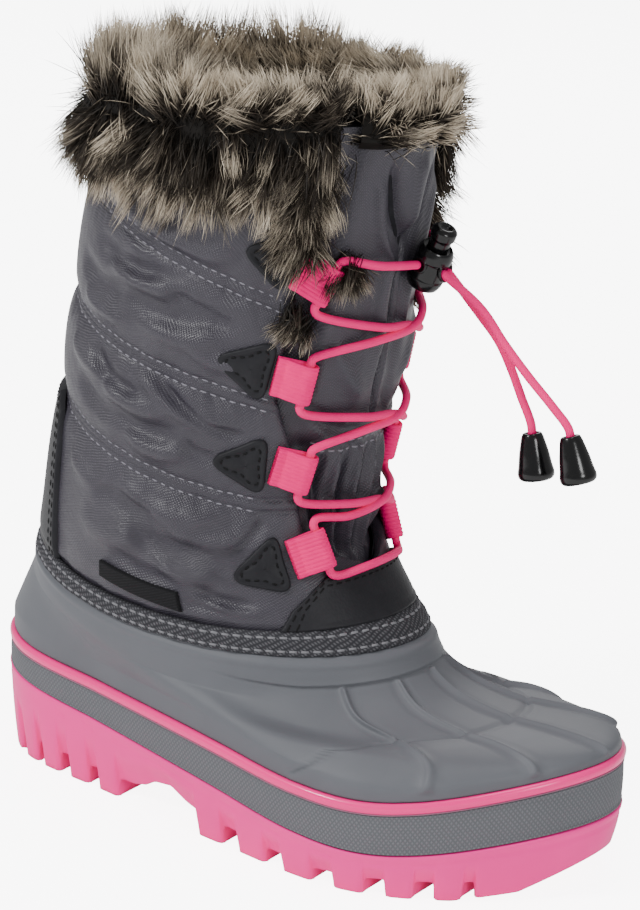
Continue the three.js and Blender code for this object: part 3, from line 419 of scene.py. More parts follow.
def join_parts(parts):
    """Joins (points, quads) pairs into one pair."""
    points, faces, base = [], [], 0
    for p, f in parts:
        points.append(p)
        faces.append(f + base)
        base += len(p)
    return np.concatenate(points), np.concatenate(faces)


def frames_along(path):
    """Smoothly turning side directions along a path."""
    tangent = unit(np.gradient(path, axis=0))
    side = np.zeros_like(path)
    start = np.cross(tangent[0], [0.3, 0.2, 0.93])
    side[0] = start / np.linalg.norm(start)
    for k in range(1, len(path)):
        turned = side[k - 1] - tangent[k] * np.dot(side[k - 1], tangent[k])
        side[k] = turned / np.linalg.norm(turned)
    return tangent, side, np.cross(tangent, side)


def smooth_path(points, step):
    """Centripetal Catmull-Rom through points, resampled about every step millimetres."""
    points = np.asarray(points, float)
    ends = np.concatenate([[2 * points[0] - points[1]], points, [2 * points[-1] - points[-2]]])
    pieces = []
    for k in range(1, len(ends) - 2):
        p = ends[k - 1:k + 3]
        knots = np.concatenate([[0], np.cumsum(np.sqrt(np.linalg.norm(np.diff(p, axis=0), axis=1)) + 1e-6)])
        u = np.linspace(knots[1], knots[2], 24, endpoint=False)[:, None]

        def mix(a, b, ka, kb):
            return ((kb - u) * a + (u - ka) * b) / (kb - ka)
        a1 = mix(p[0], p[1], knots[0], knots[1])
        a2 = mix(p[1], p[2], knots[1], knots[2])
        a3 = mix(p[2], p[3], knots[2], knots[3])
        b1 = mix(a1, a2, knots[0], knots[2])
        b2 = mix(a2, a3, knots[1], knots[3])
        pieces.append(mix(b1, b2, knots[1], knots[2]))
    fine = np.concatenate([*pieces, points[-1:]])
    run = np.concatenate([[0], np.cumsum(np.linalg.norm(np.diff(fine, axis=0), axis=1))])
    at = np.linspace(0, run[-1], max(4, int(run[-1] / step) + 1))
    return np.stack([np.interp(at, run, fine[:, k]) for k in range(3)], axis=1)


def tube_object(name, path, radius, sides=12):
    """A tube along a path in millimetres, with rounded ends."""
    tangent, side, other = frames_along(path)
    step = np.linalg.norm(path[1] - path[0])
    skip = int(radius / step) + 1
    bend = np.radians([12, 38, 64, 90])
    inset = radius * (1 - np.cos(bend))
    front = path[0] + tangent[0] * inset[:, None]
    back = (path[-1] - tangent[-1] * inset[:, None])[::-1]
    centres = np.concatenate([front, path[skip:-skip], back])
    size = np.concatenate([np.sin(bend), np.ones(len(path) - 2 * skip), np.sin(bend)[::-1]]) * radius

    def rows_of(values):
        return np.concatenate([values[:1]] * 4 + [values[skip:-skip]] + [values[-1:]] * 4)
    turn = 2 * np.pi * np.arange(sides) / sides
    ring = rows_of(side)[:, None] * np.cos(turn)[None, :, None]
    ring = ring + rows_of(other)[:, None] * np.sin(turn)[None, :, None]
    grid = centres[:, None] + ring * size[:, None, None]
    run = np.concatenate([[0], np.cumsum(np.linalg.norm(np.diff(centres, axis=0), axis=1))])
    around = 2 * np.pi * radius * np.arange(sides + 1) / sides
    uv = np.stack(np.meshgrid(around, run, indexing="xy"), axis=-1)
    caps = [cap_faces(0, sides, True), cap_faces((len(grid) - 1) * sides, sides, False)]
    return grid_object(name, grid, wrap_cols=True, uv=uv, extra=caps)


def lathe_object(name, profile, place, sides=48):
    """A turned piece: profile rows are (radius, height) along the local y axis, placed by a matrix."""
    profile = np.asarray(profile, float)
    turn = 2 * np.pi * np.arange(sides) / sides
    x = profile[:, :1] * np.cos(turn)
    z = profile[:, :1] * np.sin(turn)
    y = np.broadcast_to(profile[:, 1:], x.shape)
    grid = np.stack([x, y, z], axis=-1)
    spin = np.array(place.to_3x3())
    grid = grid @ spin.T + np.array(place.translation)
    rows = len(profile)
    caps = [cap_faces(0, sides, False), cap_faces((rows - 1) * sides, sides, True)]
    return grid_object(name, grid, wrap_cols=True, flip=True, extra=caps)


def round_profile(corners, radius, steps=5):
    """Rounds the inner corners of an open profile of (radius, height) points."""
    corners = [np.asarray(c, float) for c in corners]
    points = [corners[0]]
    for before, corner, after in zip(corners, corners[1:], corners[2:]):
        reach = min(radius, np.linalg.norm(before - corner) * 0.45, np.linalg.norm(after - corner) * 0.45)
        a = corner + unit(before - corner) * reach
        b = corner + unit(after - corner) * reach
        for u in np.linspace(0, 1, steps):
            points.append((1 - u) ** 2 * a + 2 * u * (1 - u) * corner + u * u * b)
    points.append(corners[-1])
    return np.array(points)


def matrix_to(axis, centre):
    """Turns the local y axis to axis and moves to centre."""
    spin = Vector((0, 1, 0)).rotation_difference(Vector(axis)).to_matrix().to_4x4()
    return Matrix.Translation(Vector(centre)) @ spin


def stitch_parts(paths, outs, width=0.75, height=0.45, length=2.6, gap=0.9, sink=0.1):
    """Small rounded thread stitches along paths that lie on a surface with directions outs."""
    parts = []
    profile_u = np.array([0, 0.12, 0.5, 0.88, 1])
    rise = np.array([-0.35, 0.6, 1, 0.6, -0.35])
    wide = np.array([0.45, 0.95, 1, 0.95, 0.45])
    turn = np.linspace(0, np.pi, 5)
    for path, out in zip(paths, outs):
        run = np.concatenate([[0], np.cumsum(np.linalg.norm(np.diff(path, axis=0), axis=1))])
        count = int(run[-1] / (length + gap))
        if count < 1:
            continue
        pitch = run[-1] / count
        start = pitch * np.arange(count) + gap / 2
        at = start[:, None] + profile_u[None] * (pitch - gap)

        def read(values):
            return np.stack([np.interp(at, run, values[:, k]) for k in range(3)], axis=-1)
        centre = read(path)
        normal = unit(read(out))
        along = unit(centre[:, -1:] - centre[:, :1])
        across = np.cross(normal, along)
        ring = centre[:, :, None] + across[:, :, None] * (np.cos(turn)[None, None, :, None]
                                                          * (wide * width / 2)[None, :, None, None])
        raised = np.sin(turn)[None, None, :] * (rise * height)[None, :, None]
        lift = raised + np.minimum(rise, 0)[None, :, None] * height - sink
        ring = ring + normal[:, :, None] * lift[..., None]
        block = np.arange(25).reshape(5, 5)
        corners = [block[:-1, :-1], block[:-1, 1:], block[1:, 1:], block[1:, :-1]]
        quads = np.stack(corners, axis=-1).reshape(-1, 4)
        faces = (quads[None] + 25 * np.arange(count)[:, None, None]).reshape(-1, 4)
        parts.append((ring.reshape(-1, 3), faces))
    return join_parts(parts)


# Noise made of a few sine waves, the same on every run
def waves(x, y, size, seed, layers=5):
    rng = np.random.default_rng(SEED + seed)
    total = np.zeros(np.broadcast(x, y).shape)
    for _ in range(layers):
        heading = rng.uniform(0, 2 * np.pi)
        length = size * rng.uniform(0.6, 1.6)
        phase = rng.uniform(0, 2 * np.pi)
        total += np.sin(2 * np.pi * (x * np.cos(heading) + y * np.sin(heading)) / length + phase)
    return total / layers


# Materials
def linear(hex_colour):
    """A #rrggbb colour, as seen on a screen, in Blender's linear values."""
    values = [int(hex_colour[k:k + 2], 16) / 255 for k in (1, 3, 5)]
    return tuple(v / 12.92 if v <= 0.04045 else ((v + 0.055) / 1.055) ** 2.4 for v in values)


def add_node(tree, kind, links=(), **settings):
    """Adds a node; settings name its own values or input sockets, links are (input, output) pairs."""
    node = tree.nodes.new(kind)
    for key, value in settings.items():
        if key in node.bl_rna.properties:
            setattr(node, key, value)
        else:
            node.inputs[key.replace("_", " ")].default_value = value
    for name, source in links:
        tree.links.new(source, node.inputs[name])
    return node


def new_material(name):
    material = bpy.data.materials.new(name)
    material.use_nodes = True
    tree = material.node_tree
    tree.nodes.clear()
    surface = tree.nodes.new("ShaderNodeBsdfPrincipled")
    output = tree.nodes.new("ShaderNodeOutputMaterial")
    tree.links.new(surface.outputs["BSDF"], output.inputs["Surface"])
    return material, tree, surface


def set_surface(surface, colour=None, **values):
    if colour is not None:
        surface.inputs["Base Color"].default_value = (*colour, 1)
    for key, value in values.items():
        surface.inputs[key.replace("_", " ")].default_value = value


def object_noise(tree, scale, detail, **settings):
    where = add_node(tree, "ShaderNodeTexCoord")
    return add_node(tree, "ShaderNodeTexNoise", [("Vector", where.outputs["Object"])],
                    Scale=scale, Detail=detail, **settings)


def vary_colour(tree, surface, colour, size_mm, amount, detail=3.0):
    """Soft changes of shade over the piece, size_mm across."""
    noise = object_noise(tree, 1000 / size_mm, detail, Roughness=0.55)
    shade = add_node(tree, "ShaderNodeMapRange", [("Value", noise.outputs["Fac"])],
                     From_Min=0.3, From_Max=0.7, To_Min=1 - amount, To_Max=1 + amount)
    tint = add_node(tree, "ShaderNodeVectorMath", [("Scale", shade.outputs["Result"])], operation="SCALE")
    tint.inputs[0].default_value = colour
    tree.links.new(tint.outputs["Vector"], surface.inputs["Base Color"])
    return noise, tint


def piece_uv(tree):
    return add_node(tree, "ShaderNodeUVMap").outputs["UV"]


def uv_wave(tree, uv, angle, pitch_mm):
    """A fine wave across the uv, which is in millimetres: 0 to 1 every pitch."""
    turned = add_node(tree, "ShaderNodeMapping", [("Vector", uv)], vector_type="POINT")
    turned.inputs["Rotation"].default_value = (0, 0, math.radians(angle))
    wave = add_node(tree, "ShaderNodeTexWave", [("Vector", turned.outputs["Vector"])],
                    wave_type="BANDS", bands_direction="X", wave_profile="SIN",
                    Scale=2 * math.pi / (20 * pitch_mm), Distortion=0.0)
    return wave.outputs["Fac"]


def add_bump(tree, surface, height, distance_mm, strength=1.0, under=None):
    """Relief from a height value; under is another bump that this one lies on."""
    bump_node = add_node(tree, "ShaderNodeBump", [("Height", height)],
                         Strength=strength, Distance=distance_mm * MM)
    if under is not None:
        tree.links.new(under.outputs["Normal"], bump_node.inputs["Normal"])
    tree.links.new(bump_node.outputs["Normal"], surface.inputs["Normal"])
    return bump_node


def combine(tree, operation, a, b):
    node = add_node(tree, "ShaderNodeMath", operation=operation)
    for k, value in enumerate((a, b)):
        if isinstance(value, (int, float)):
            node.inputs[k].default_value = value
        else:
            tree.links.new(value, node.inputs[k])
    return node.outputs[0]


def rubber_material(name, colour, roughness):
    """Moulded thermoplastic rubber: even colour, satin, with a faint grain from the mould."""
    material, tree, surface = new_material(name)
    vary_colour(tree, surface, colour, 22, 0.035)
    grain = object_noise(tree, 1600, 2.0)
    add_bump(tree, surface, grain.outputs["Fac"], 0.05, 0.5)
    set_surface(surface, Roughness=roughness, Specular_IOR_Level=0.2)
    return material


def foxing_material(name, colour):
    """Rubber strip rolled with a fine crossed texture: matt; the crossing ribs are painted lighter as a
    painted highlight, the hollows between them darker as painted shade.
    """
    material, tree, surface = new_material(name)
    uv = piece_uv(tree)
    ribs = combine(tree, "MINIMUM", uv_wave(tree, uv, 38, 1.25), uv_wave(tree, uv, -38, 1.25))
    # painted highlight on the crossing ribs and painted shade between them, scaled into the base colour
    shade = add_node(tree, "ShaderNodeMapRange", [("Value", ribs)],
                     To_Min=0.8, To_Max=1.28)
    tint = add_node(tree, "ShaderNodeVectorMath", [("Scale", shade.outputs["Result"])], operation="SCALE")
    tint.inputs[0].default_value = colour
    tree.links.new(tint.outputs["Vector"], surface.inputs["Base Color"])
    add_bump(tree, surface, ribs, 0.25, 0.7)
    set_surface(surface, Roughness=0.7, Specular_IOR_Level=0.2)
    return material


def nylon_material(name, colour):
    """Coated nylon twill: threads drawn 0.8 mm apart, coarser than real so that they show; satin sheen."""
    material, tree, surface = new_material(name)
    noise, tint = vary_colour(tree, surface, colour, 16, 0.07)
    uv = piece_uv(tree)
    warp = uv_wave(tree, uv, 32, 0.85)
    weft = uv_wave(tree, uv, -58, 0.85)
    weave = combine(tree, "MULTIPLY", warp, weft)
    shade = add_node(tree, "ShaderNodeMapRange", [("Value", weave)],
                     To_Min=0.82, To_Max=1.45)
    mixed = add_node(tree, "ShaderNodeVectorMath",
                     [(0, tint.outputs["Vector"]), ("Scale", shade.outputs["Result"])], operation="SCALE")
    tree.links.new(mixed.outputs["Vector"], surface.inputs["Base Color"])
    rumple = add_node(tree, "ShaderNodeTexNoise", [("Vector", uv)], Scale=0.22, Detail=4.0)
    soft = add_bump(tree, surface, rumple.outputs["Fac"], 0.7, 0.6)
    add_bump(tree, surface, weave, 0.16, 0.8, soft)
    rough = add_node(tree, "ShaderNodeMapRange", [("Value", noise.outputs["Fac"])],
                     To_Min=0.33, To_Max=0.45)
    tree.links.new(rough.outputs["Result"], surface.inputs["Roughness"])
    set_surface(surface, Specular_IOR_Level=0.5)
    return material


def leather_material(name, colour, roughness=0.46):
    """Split leather with a pressed film: fine pebble grain and a low gloss."""
    material, tree, surface = new_material(name)
    vary_colour(tree, surface, colour, 9, 0.12)
    where = add_node(tree, "ShaderNodeTexCoord")
    pebble = add_node(tree, "ShaderNodeTexVoronoi", [("Vector", where.outputs["Object"])], Scale=900)
    fine = combine(tree, "MULTIPLY", object_noise(tree, 2200, 2.0).outputs["Fac"], 0.5)
    grain = combine(tree, "ADD", pebble.outputs["Distance"], fine)
    add_bump(tree, surface, grain, 0.12, 0.5)
    set_surface(surface, Roughness=roughness, Specular_IOR_Level=0.12)
    return material


def woven_material(name, colour, light, pitch):
    """Woven tape: crossing yarns, the raised ones paler and hairy, matt."""
    material, tree, surface = new_material(name)
    uv = piece_uv(tree)
    yarns = combine(tree, "MULTIPLY", uv_wave(tree, uv, 25, pitch), uv_wave(tree, uv, -65, pitch * 1.3))
    speckle = add_node(tree, "ShaderNodeTexNoise", [("Vector", uv)], Scale=1.4, Detail=3.0)
    share = combine(tree, "MULTIPLY", yarns, speckle.outputs["Fac"])
    mixed = add_node(tree, "ShaderNodeMix", data_type="RGBA")
    tree.links.new(share, mixed.inputs["Factor"])
    ends = {"A": (*colour, 1), "B": (*light, 1)}
    for socket in mixed.inputs:
        if socket.type == "RGBA":
            socket.default_value = ends[socket.name]
    mixed_colour = next(socket for socket in mixed.outputs if socket.type == "RGBA")
    tree.links.new(mixed_colour, surface.inputs["Base Color"])
    add_bump(tree, surface, yarns, 0.2, 0.6)
    set_surface(surface, Roughness=0.8, Specular_IOR_Level=0.2)
    return material


def webbing_material(name, colour):
    """Ribbed polyester tape: each rib is a real ridge, with fine threads running one way; slight sheen."""
    material, tree, surface = new_material(name)
    vary_colour(tree, surface, colour, 6, 0.06)
    uv = piece_uv(tree)
    add_bump(tree, surface, uv_wave(tree, uv, 0, 0.55), 0.12, 0.6)
    set_surface(surface, Roughness=0.6, Specular_IOR_Level=0.05)
    return material


def cord_material(name, colour):
    """Elastic cord in a braided polyester cover: small crossing yarns, slight sheen."""
    material, tree, surface = new_material(name)
    vary_colour(tree, surface, colour, 5, 0.05)
    uv = piece_uv(tree)
    braid = combine(tree, "MULTIPLY", uv_wave(tree, uv, 35, 0.7), uv_wave(tree, uv, -35, 0.7))
    add_bump(tree, surface, braid, 0.16, 0.7)
    set_surface(surface, Roughness=0.5, Specular_IOR_Level=0.2)
    return material


def plastic_material(name, colour):
    """Injection-moulded black plastic: glossy, with a faint waviness in its reflections."""
    material, tree, surface = new_material(name)
    ripple = object_noise(tree, 260, 2.0)
    add_bump(tree, surface, ripple.outputs["Fac"], 0.12, 0.35)
    set_surface(surface, colour, Roughness=0.2, Specular_IOR_Level=0.4)
    return material


def gloss_material(name, colour):
    """Glossy extruded rubber bead: saturated pink with a clear highlight."""
    material, tree, surface = new_material(name)
    ripple = object_noise(tree, 170, 3.0)
    add_bump(tree, surface, ripple.outputs["Fac"], 0.25, 0.45)
    set_surface(surface, colour, Roughness=0.3, Specular_IOR_Level=0.3, Coat_Weight=0.3, Coat_Roughness=0.12)
    return material


def thread_material(name, colour):
    """Spun polyester thread: matt with a little sheen."""
    material, _, surface = new_material(name)
    set_surface(surface, colour, Roughness=0.7, Specular_IOR_Level=0.2)
    return material


def felt_material(name, colour):
    """Brushed polyester fleece of the lining: matt and fuzzy."""
    material, tree, surface = new_material(name)
    vary_colour(tree, surface, colour, 5, 0.2)
    nap = object_noise(tree, 900, 4.0)
    add_bump(tree, surface, nap.outputs["Fac"], 0.5, 0.8)
    set_surface(surface, Roughness=0.95, Specular_IOR_Level=0.1)
    return material


def fur_material(name, root, middle, tip):
    """Acrylic pile: dark roots, brown lengths and pale tips by the hair's own tone, soft shine."""
    material, tree, surface = new_material(name)
    tone = add_node(tree, "ShaderNodeAttribute", attribute_name="tone")
    ramp = add_node(tree, "ShaderNodeValToRGB", [("Fac", tone.outputs["Fac"])])
    ramp.color_ramp.elements[0].color = (*root, 1)
    ramp.color_ramp.elements[1].color = (*tip, 1)
    ramp.color_ramp.elements.new(0.5).color = (*middle, 1)
    tree.links.new(ramp.outputs["Color"], surface.inputs["Base Color"])
    set_surface(surface, Roughness=0.5, Specular_IOR_Level=0.12)
    return material


def finish(obj, material, slot_name, *nodes):
    obj.data.materials.append(material)
    if nodes:
        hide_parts(*nodes)
    return obj


def material_named(name, make, *values):
    found = bpy.data.materials.get("boot_" + name)
    return found if found else make("boot_" + name, *values)


def own_material(name, make, colour, *values):
    """The named material, in one of the colours that a user can change."""
    return material_named(name, make, tuple(getattr(colours(), colour)), *values)


def sew(name, paths, outs, material, slot_name, **sizes_mm):
    """One object with all the stitches along paths; outs are the directions off the surface."""
    points, faces = stitch_parts(paths, outs, **sizes_mm)
    finish(new_object(name, points, [faces]), material, slot_name)


# Settings that a user would change
def colour_property(name, description, hex_colour):
    return bpy.props.FloatVectorProperty(name=name, description=description, subtype="COLOR", size=3,
                                         min=0, max=1, default=linear(hex_colour))


def length_property(name, description, millimetres):
    return bpy.props.FloatProperty(name=name, description=description, subtype="DISTANCE", unit="LENGTH",
                                   default=millimetres * MM, min=0, precision=5)


def count_property(name, description, count, least):
    return bpy.props.IntProperty(name=name, description=description, default=count, min=least)


class BootSizes(bpy.types.PropertyGroup):
    puff: length_property("Puff", "How far the quilted bands swell", 2.6)
    pucker: length_property("Pucker", "Depth of the small gathers beside the quilt seams", 0.4)
    crease: length_property("Crease", "Depth of the large folds in the nylon", 3.4)
    rib: length_property("Rib", "Height of the shell's moulded ribs", 1.5)
    cord: length_property("Cord diameter", "Diameter of the elastic lace", 3.0)
    stitch: length_property("Stitch length", "Length of one stitch", 2.6)
    fur: length_property("Fur length", "Length of the longest hairs", 24)
    hairs: count_property("Hairs", "Hairs in the whole collar", 57000, 1000)
    locks: count_property("Locks", "Locks that the hairs gather in", 1150, 20)


class BootColours(bpy.types.PropertyGroup):
    nylon: colour_property("Nylon", "Coated nylon of the shaft and tongue", "#322f38")
    shell: colour_property("Shell", "Moulded rubber shell", "#5d5f64")
    foxing: colour_property("Foxing", "Textured strip round the sole", "#636569")
    sole: colour_property("Sole", "Outsole rubber", "#ff2c96")
    piping: colour_property("Piping", "Glossy bead round the sole", "#ff1886")
    cord: colour_property("Cord", "Elastic lace and webbing loops", "#ff107a")
    leather: colour_property("Leather", "Patches, vamp patch and back stay", "#242427")
    binding: colour_property("Binding", "Woven strip over the seam", "#2b2b2f")
    yarn: colour_property("Pale yarn", "Raised yarns of the binding and its stitches", "#737377")
    thread: colour_property("Thread", "Quilting thread", "#7b7981")
    plastic: colour_property("Plastic", "Cord lock and bells", "#0a0a0b")
    lining: colour_property("Lining", "Fleece inside", "#232326")
    fur_root: colour_property("Fur root", "Hair at the skin", "#0b0a09")
    fur_middle: colour_property("Fur middle", "Hair at half its length", "#39322b")
    fur_tip: colour_property("Fur tip", "Hair at its tip", "#d8cab4")
    floor: colour_property("Floor", "Studio floor and backdrop", "#ffffff")


def sizes():
    return bpy.context.scene.boot_sizes


def colours():
    return bpy.context.scene.boot_colours


# Camera, found from the photograph: its angles, distance and lens, and the picture's shift
CAMERA = {
    "turn": 32.77, "height": 16.93, "roll": 2.0, "distance": 1.1, "target": (0.093, 0.0, 0.120),
    "lens": 125.24, "shift_x": 0.00954, "shift_y": 0.02414,
}


def place_camera():
    turn, height, roll = (math.radians(CAMERA[k]) for k in ("turn", "height", "roll"))
    back = Vector((math.sin(turn) * math.cos(height), -math.cos(turn) * math.cos(height), math.sin(height)))
    right = Vector((math.cos(turn), math.sin(turn), 0))
    up = back.cross(right)
    rolled_right = right * math.cos(roll) + up * math.sin(roll)
    rolled_up = up * math.cos(roll) - right * math.sin(roll)
    data = bpy.data.cameras.new("camera")
    data.lens = CAMERA["lens"]
    data.sensor_width = 36
    data.shift_x = CAMERA["shift_x"]
    data.shift_y = CAMERA["shift_y"]
    camera = bpy.data.objects.new("camera", data)
    matrix = Matrix((rolled_right, rolled_up, back)).transposed().to_4x4()
    matrix.translation = Vector(CAMERA["target"]) + back * CAMERA["distance"]
    camera.matrix_world = matrix
    bpy.context.scene.collection.objects.link(camera)
    bpy.context.scene.camera = camera


# Shaft surface
def throat_half(t):
    return line_table(THROAT, "half", t)


def quilt_lines(degrees):
    side = fold_degrees(degrees)
    share = np.clip((side - 48) / 132, 0, 1)
    lines = [np.full(np.shape(side), SEAM_HIGH + 0.08)]
    lines += [front + (back - front) * share for front, back in QUILT_SEAMS]
    lines.append(np.full(np.shape(side), float(COLLAR)))
    return np.stack(lines)


def band_share(degrees, t):
    """Share of the way from the quilt line below to the one above, and the band's number."""
    lines = quilt_lines(degrees)
    band = np.clip(np.sum(t[None] > lines[1:-1], axis=0), 0, 3)
    low = np.take_along_axis(lines, band[None], 0)[0]
    high = np.take_along_axis(lines, band[None] + 1, 0)[0]
    return np.clip((t - low) / (high - low), 0, 1), band, low, high


def shaft_puff(degrees, t, puff=None):
    """How far the quilted skin stands off the last."""
    degrees, t = np.broadcast_arrays(np.asarray(degrees, float), np.asarray(t, float))
    puff = sizes().puff / MM if puff is None else puff
    share, *_ = band_share(degrees, t)
    calm = 0.3 + 0.7 * smooth((fold_degrees(degrees) - 55) / 45)
    return puff * calm * np.sqrt(np.sin(np.pi * share) + 1e-9) - 0.4


# Large folds of the nylon: from and to (degrees, section), half width and height in mm
FOLDS = [
    ((120, 12.6), (92, 12.25), 3.2, 0.9), ((112, 12.9), (84, 12.75), 3.6, -0.8),
    ((100, 12.45), (70, 12.3), 3.0, 0.8),
    ((124, 12.15), (92, 11.9), 2.6, -0.9), ((116, 11.95), (84, 11.72), 2.6, 0.9),
    ((104, 11.55), (74, 11.45), 3.2, -1),
    ((96, 11.2), (70, 11.15), 2.8, 0.8), ((134, 11.75), (108, 11.5), 3.0, -0.8),
    ((90, 11.75), (66, 11.35), 2.4, -0.9),
    ((80, 11.05), (62, 10.8), 2.4, 0.7), ((128, 11.35), (104, 11.15), 2.4, 0.7),
    ((132, 10.65), (112, 10.35), 2.8, 0.9), ((118, 10.6), (96, 10.2), 2.2, -0.9),
    ((110, 10.25), (84, 10.12), 2.8, 1.1),
    ((106, 9.95), (80, 9.85), 2.6, -1), ((96, 10.55), (62, 9.98), 2.2, 1),
    ((88, 10.45), (58, 9.92), 1.6, -1.1),
    ((98, 9.7), (76, 9.62), 2.4, 0.9), ((124, 10.1), (104, 9.85), 2.6, -0.7),
    ((78, 9.75), (66, 9.6), 2.0, -0.7),
    ((126, 9.1), (104, 8.95), 3.0, 0.8), ((112, 8.95), (84, 8.85), 3.2, -0.9),
    ((98, 9.05), (64, 8.85), 2.6, 0.9),
    ((116, 8.45), (90, 8.45), 3.4, 0.7), ((94, 8.55), (66, 8.5), 3.0, -0.8),
    ((80, 8.7), (52, 8.62), 2.4, 0.9),
    ((84, 8.2), (64, 8.12), 2.4, 0.7), ((72, 7.95), (54, 7.78), 2.0, -0.7),
    ((68, 7.75), (50, 7.62), 1.8, 0.8),
    ((100, 8.2), (78, 8.02), 2.6, -0.6), ((60, 8.45), (46, 8.9), 2.0, -0.6),
    ((76, 7.72), (58, 7.66), 1.6, -0.5),
]


def fold_height(degrees, t, folds, depth):
    """Sum of soft ridges and troughs, each along its own line; a degree counts as one millimetre."""
    total = np.zeros(degrees.shape)
    for (d0, t0), (d1, t1), half, height in folds:
        ax, ay = d0, t0 * SECTION_MM
        bx, by = d1, t1 * SECTION_MM
        length = math.hypot(bx - ax, by - ay)
        ux, uy = (bx - ax) / length, (by - ay) / length
        px = degrees - ax
        py = t * SECTION_MM - ay
        along = (px * ux + py * uy) / length
        bow = 0.08 * length * np.sin(np.pi * np.clip(along, 0, 1))
        across = py * ux - px * uy - bow
        fade = smooth((along + 0.12) / 0.35) * smooth((1.12 - along) / 0.35)
        total += height * depth * fade * bump(across, half)
    return total


def shaft_height(degrees, t):
    """Fine shape of the nylon over the plain shaft: puffs, seams, gathers and folds, in mm."""
    side = fold_degrees(degrees)
    flip = np.mod(degrees + 180, 360) - 180 < 0
    share, band, low, high = band_share(degrees, t)
    base = shaft_puff(degrees, t)
    from_low = (t - low) * SECTION_MM
    from_high = (high - t) * SECTION_MM
    near = np.minimum(from_low, from_high)
    seam_below = band > 0
    seam_above = band < 3
    along = side * 1.05 + 40 * flip
    gather = waves(along, 0 * along, 7.5, 3, 4) + 0.6 * waves(along + 0.5 * near, near * 0.3, 4.2, 4, 4)
    pucker = sizes().pucker / MM
    reach_low = np.where(seam_below, np.exp(-((from_low - 3.4) / 3.6) ** 2), 0)
    reach_high = np.where(seam_above, np.exp(-((from_high - 3.4) / 3.6) ** 2), 0)
    base = base + pucker * gather * (reach_low + reach_high)
    for reach, active in ((from_low, seam_below), (from_high, seam_above)):
        strip = np.where(active, bump(reach, 1.1), 0)
        groove = np.where(active, bump(reach - 1.9, 0.55), 0)
        base = base + 0.75 * strip - 0.5 * groove - np.where(active, 1.1 * bump(reach, 4.5), 0)
    folds = 2.5 * np.tanh(fold_height(side, t, FOLDS, sizes().crease / MM) / 2.5)
    mirror_calm = np.where(flip, 0.8, 1.0)
    away = smooth((near - 1.5) / 4)
    base = base + folds * away * mirror_calm
    base = base + 0.35 * waves(side * 1.05 + 90 * flip, t * SECTION_MM, 34, 6) * away
    foot = smooth((t - SEAM_HIGH) * SECTION_MM / 2.5)
    pleat = waves(along, 0 * along, 9, 8, 4) * np.exp(-((t - SEAM_HIGH) * SECTION_MM / 9) ** 2)
    return base * foot + (1 - foot) * -0.6 + 0.45 * pleat * foot


def seam_rows(count):
    """Shares from 0 to 1, closer together at both ends."""
    even = np.linspace(0, 1, count)
    return 0.5 * even + 0.25 * (1 - np.cos(np.pi * even))


def throat_columns(level, columns):
    """Angles from one throat edge round the heel to the other."""
    half = throat_half(level)
    return half + (360 - 2 * half) * np.linspace(0, 1, columns)


def build_shaft():
    columns = 270
    edge_shift = np.array([2.6, 1.4, 0.5, 0.1])
    edge_drop = np.array([2.9, 2.6, 1.6, 0.6])
    rows = []
    for t in (SEAM_LOW + 0.05, SEAM_HIGH - 0.05):
        degrees = np.linspace(0, 360, columns)
        degrees = np.concatenate([edge_shift, degrees, 360 - edge_shift[::-1]])
        rows.append(on_last(degrees, t, -BINDING_THICK - CLEAR))
    for band in range(4):
        for share in seam_rows(46)[(1 if band else 0):]:
            guess = quilt_lines(48.0)
            level = guess[band] + (guess[band + 1] - guess[band]) * share
            degrees = throat_columns(level, columns)
            lines = quilt_lines(degrees)
            t = lines[band] + (lines[band + 1] - lines[band]) * share
            height = shaft_height(degrees, t)
            open_edge = smooth((level - 8.02) / 0.3)
            left = degrees[0] + edge_shift
            right = degrees[-1] - edge_shift[::-1]
            ease = smooth(np.minimum(degrees - degrees[0], degrees[-1] - degrees) / 2.2)
            height = height - 0.8 * open_edge * (1 - ease)
            degrees = np.concatenate([left, degrees, right])
            t = np.concatenate([np.full(4, t[0]), t, np.full(4, t[-1])])
            drop = 0.8 * open_edge
            first, final = height[0] - drop - edge_drop, height[-1] - drop - edge_drop[::-1]
            height = np.concatenate([first, height, final])
            rows.append(on_last(degrees, t, height))
    finish(grid_object("quilted_shaft", np.array(rows), flip=True),
           own_material("nylon", nylon_material, "nylon"), "nylon", "shaft")
    build_lining()
    build_quilt_stitches()


def build_lining():
    rows = []
    for t in np.linspace(SEAM_LOW + 0.1, COLLAR, 60):
        degrees = throat_columns(max(t, 8.1), 160)
        fleece = 0.25 * waves(degrees * 1.1, np.full(160, t * SECTION_MM), 4.5, 21)
        rows.append(on_last(degrees, t, -SHAFT_WALL + fleece))
    lining = grid_object("shaft_lining", np.array(rows))
    finish(lining, own_material("lining", felt_material, "lining"), "felt")


def build_quilt_stitches():
    """Two rows of thread beside the raised strip of each quilt seam."""
    paths, outs = [], []
    for front, back in QUILT_SEAMS:
        for row in (-1, 1):
            for side in (1, -1):
                degrees = np.linspace(50, 180, 260)
                t = front + (back - front) * (degrees - 48) / 132
                t = t + row * 1.9 / SECTION_MM
                at = degrees if side == 1 else 360 - degrees
                paths.append(on_last(at, t, shaft_height(at, t)))
                outs.append(outward(at, t))
    sew("quilt_stitches", paths, outs, own_material("quilt_thread", thread_material, "thread"), "nylon",
        width=0.8, height=0.4, length=sizes().stitch / MM)


# Tongue
TONGUE_SEAM = 9.75
TONGUE_LAP = 13
TONGUE_SETBACK = 1.4
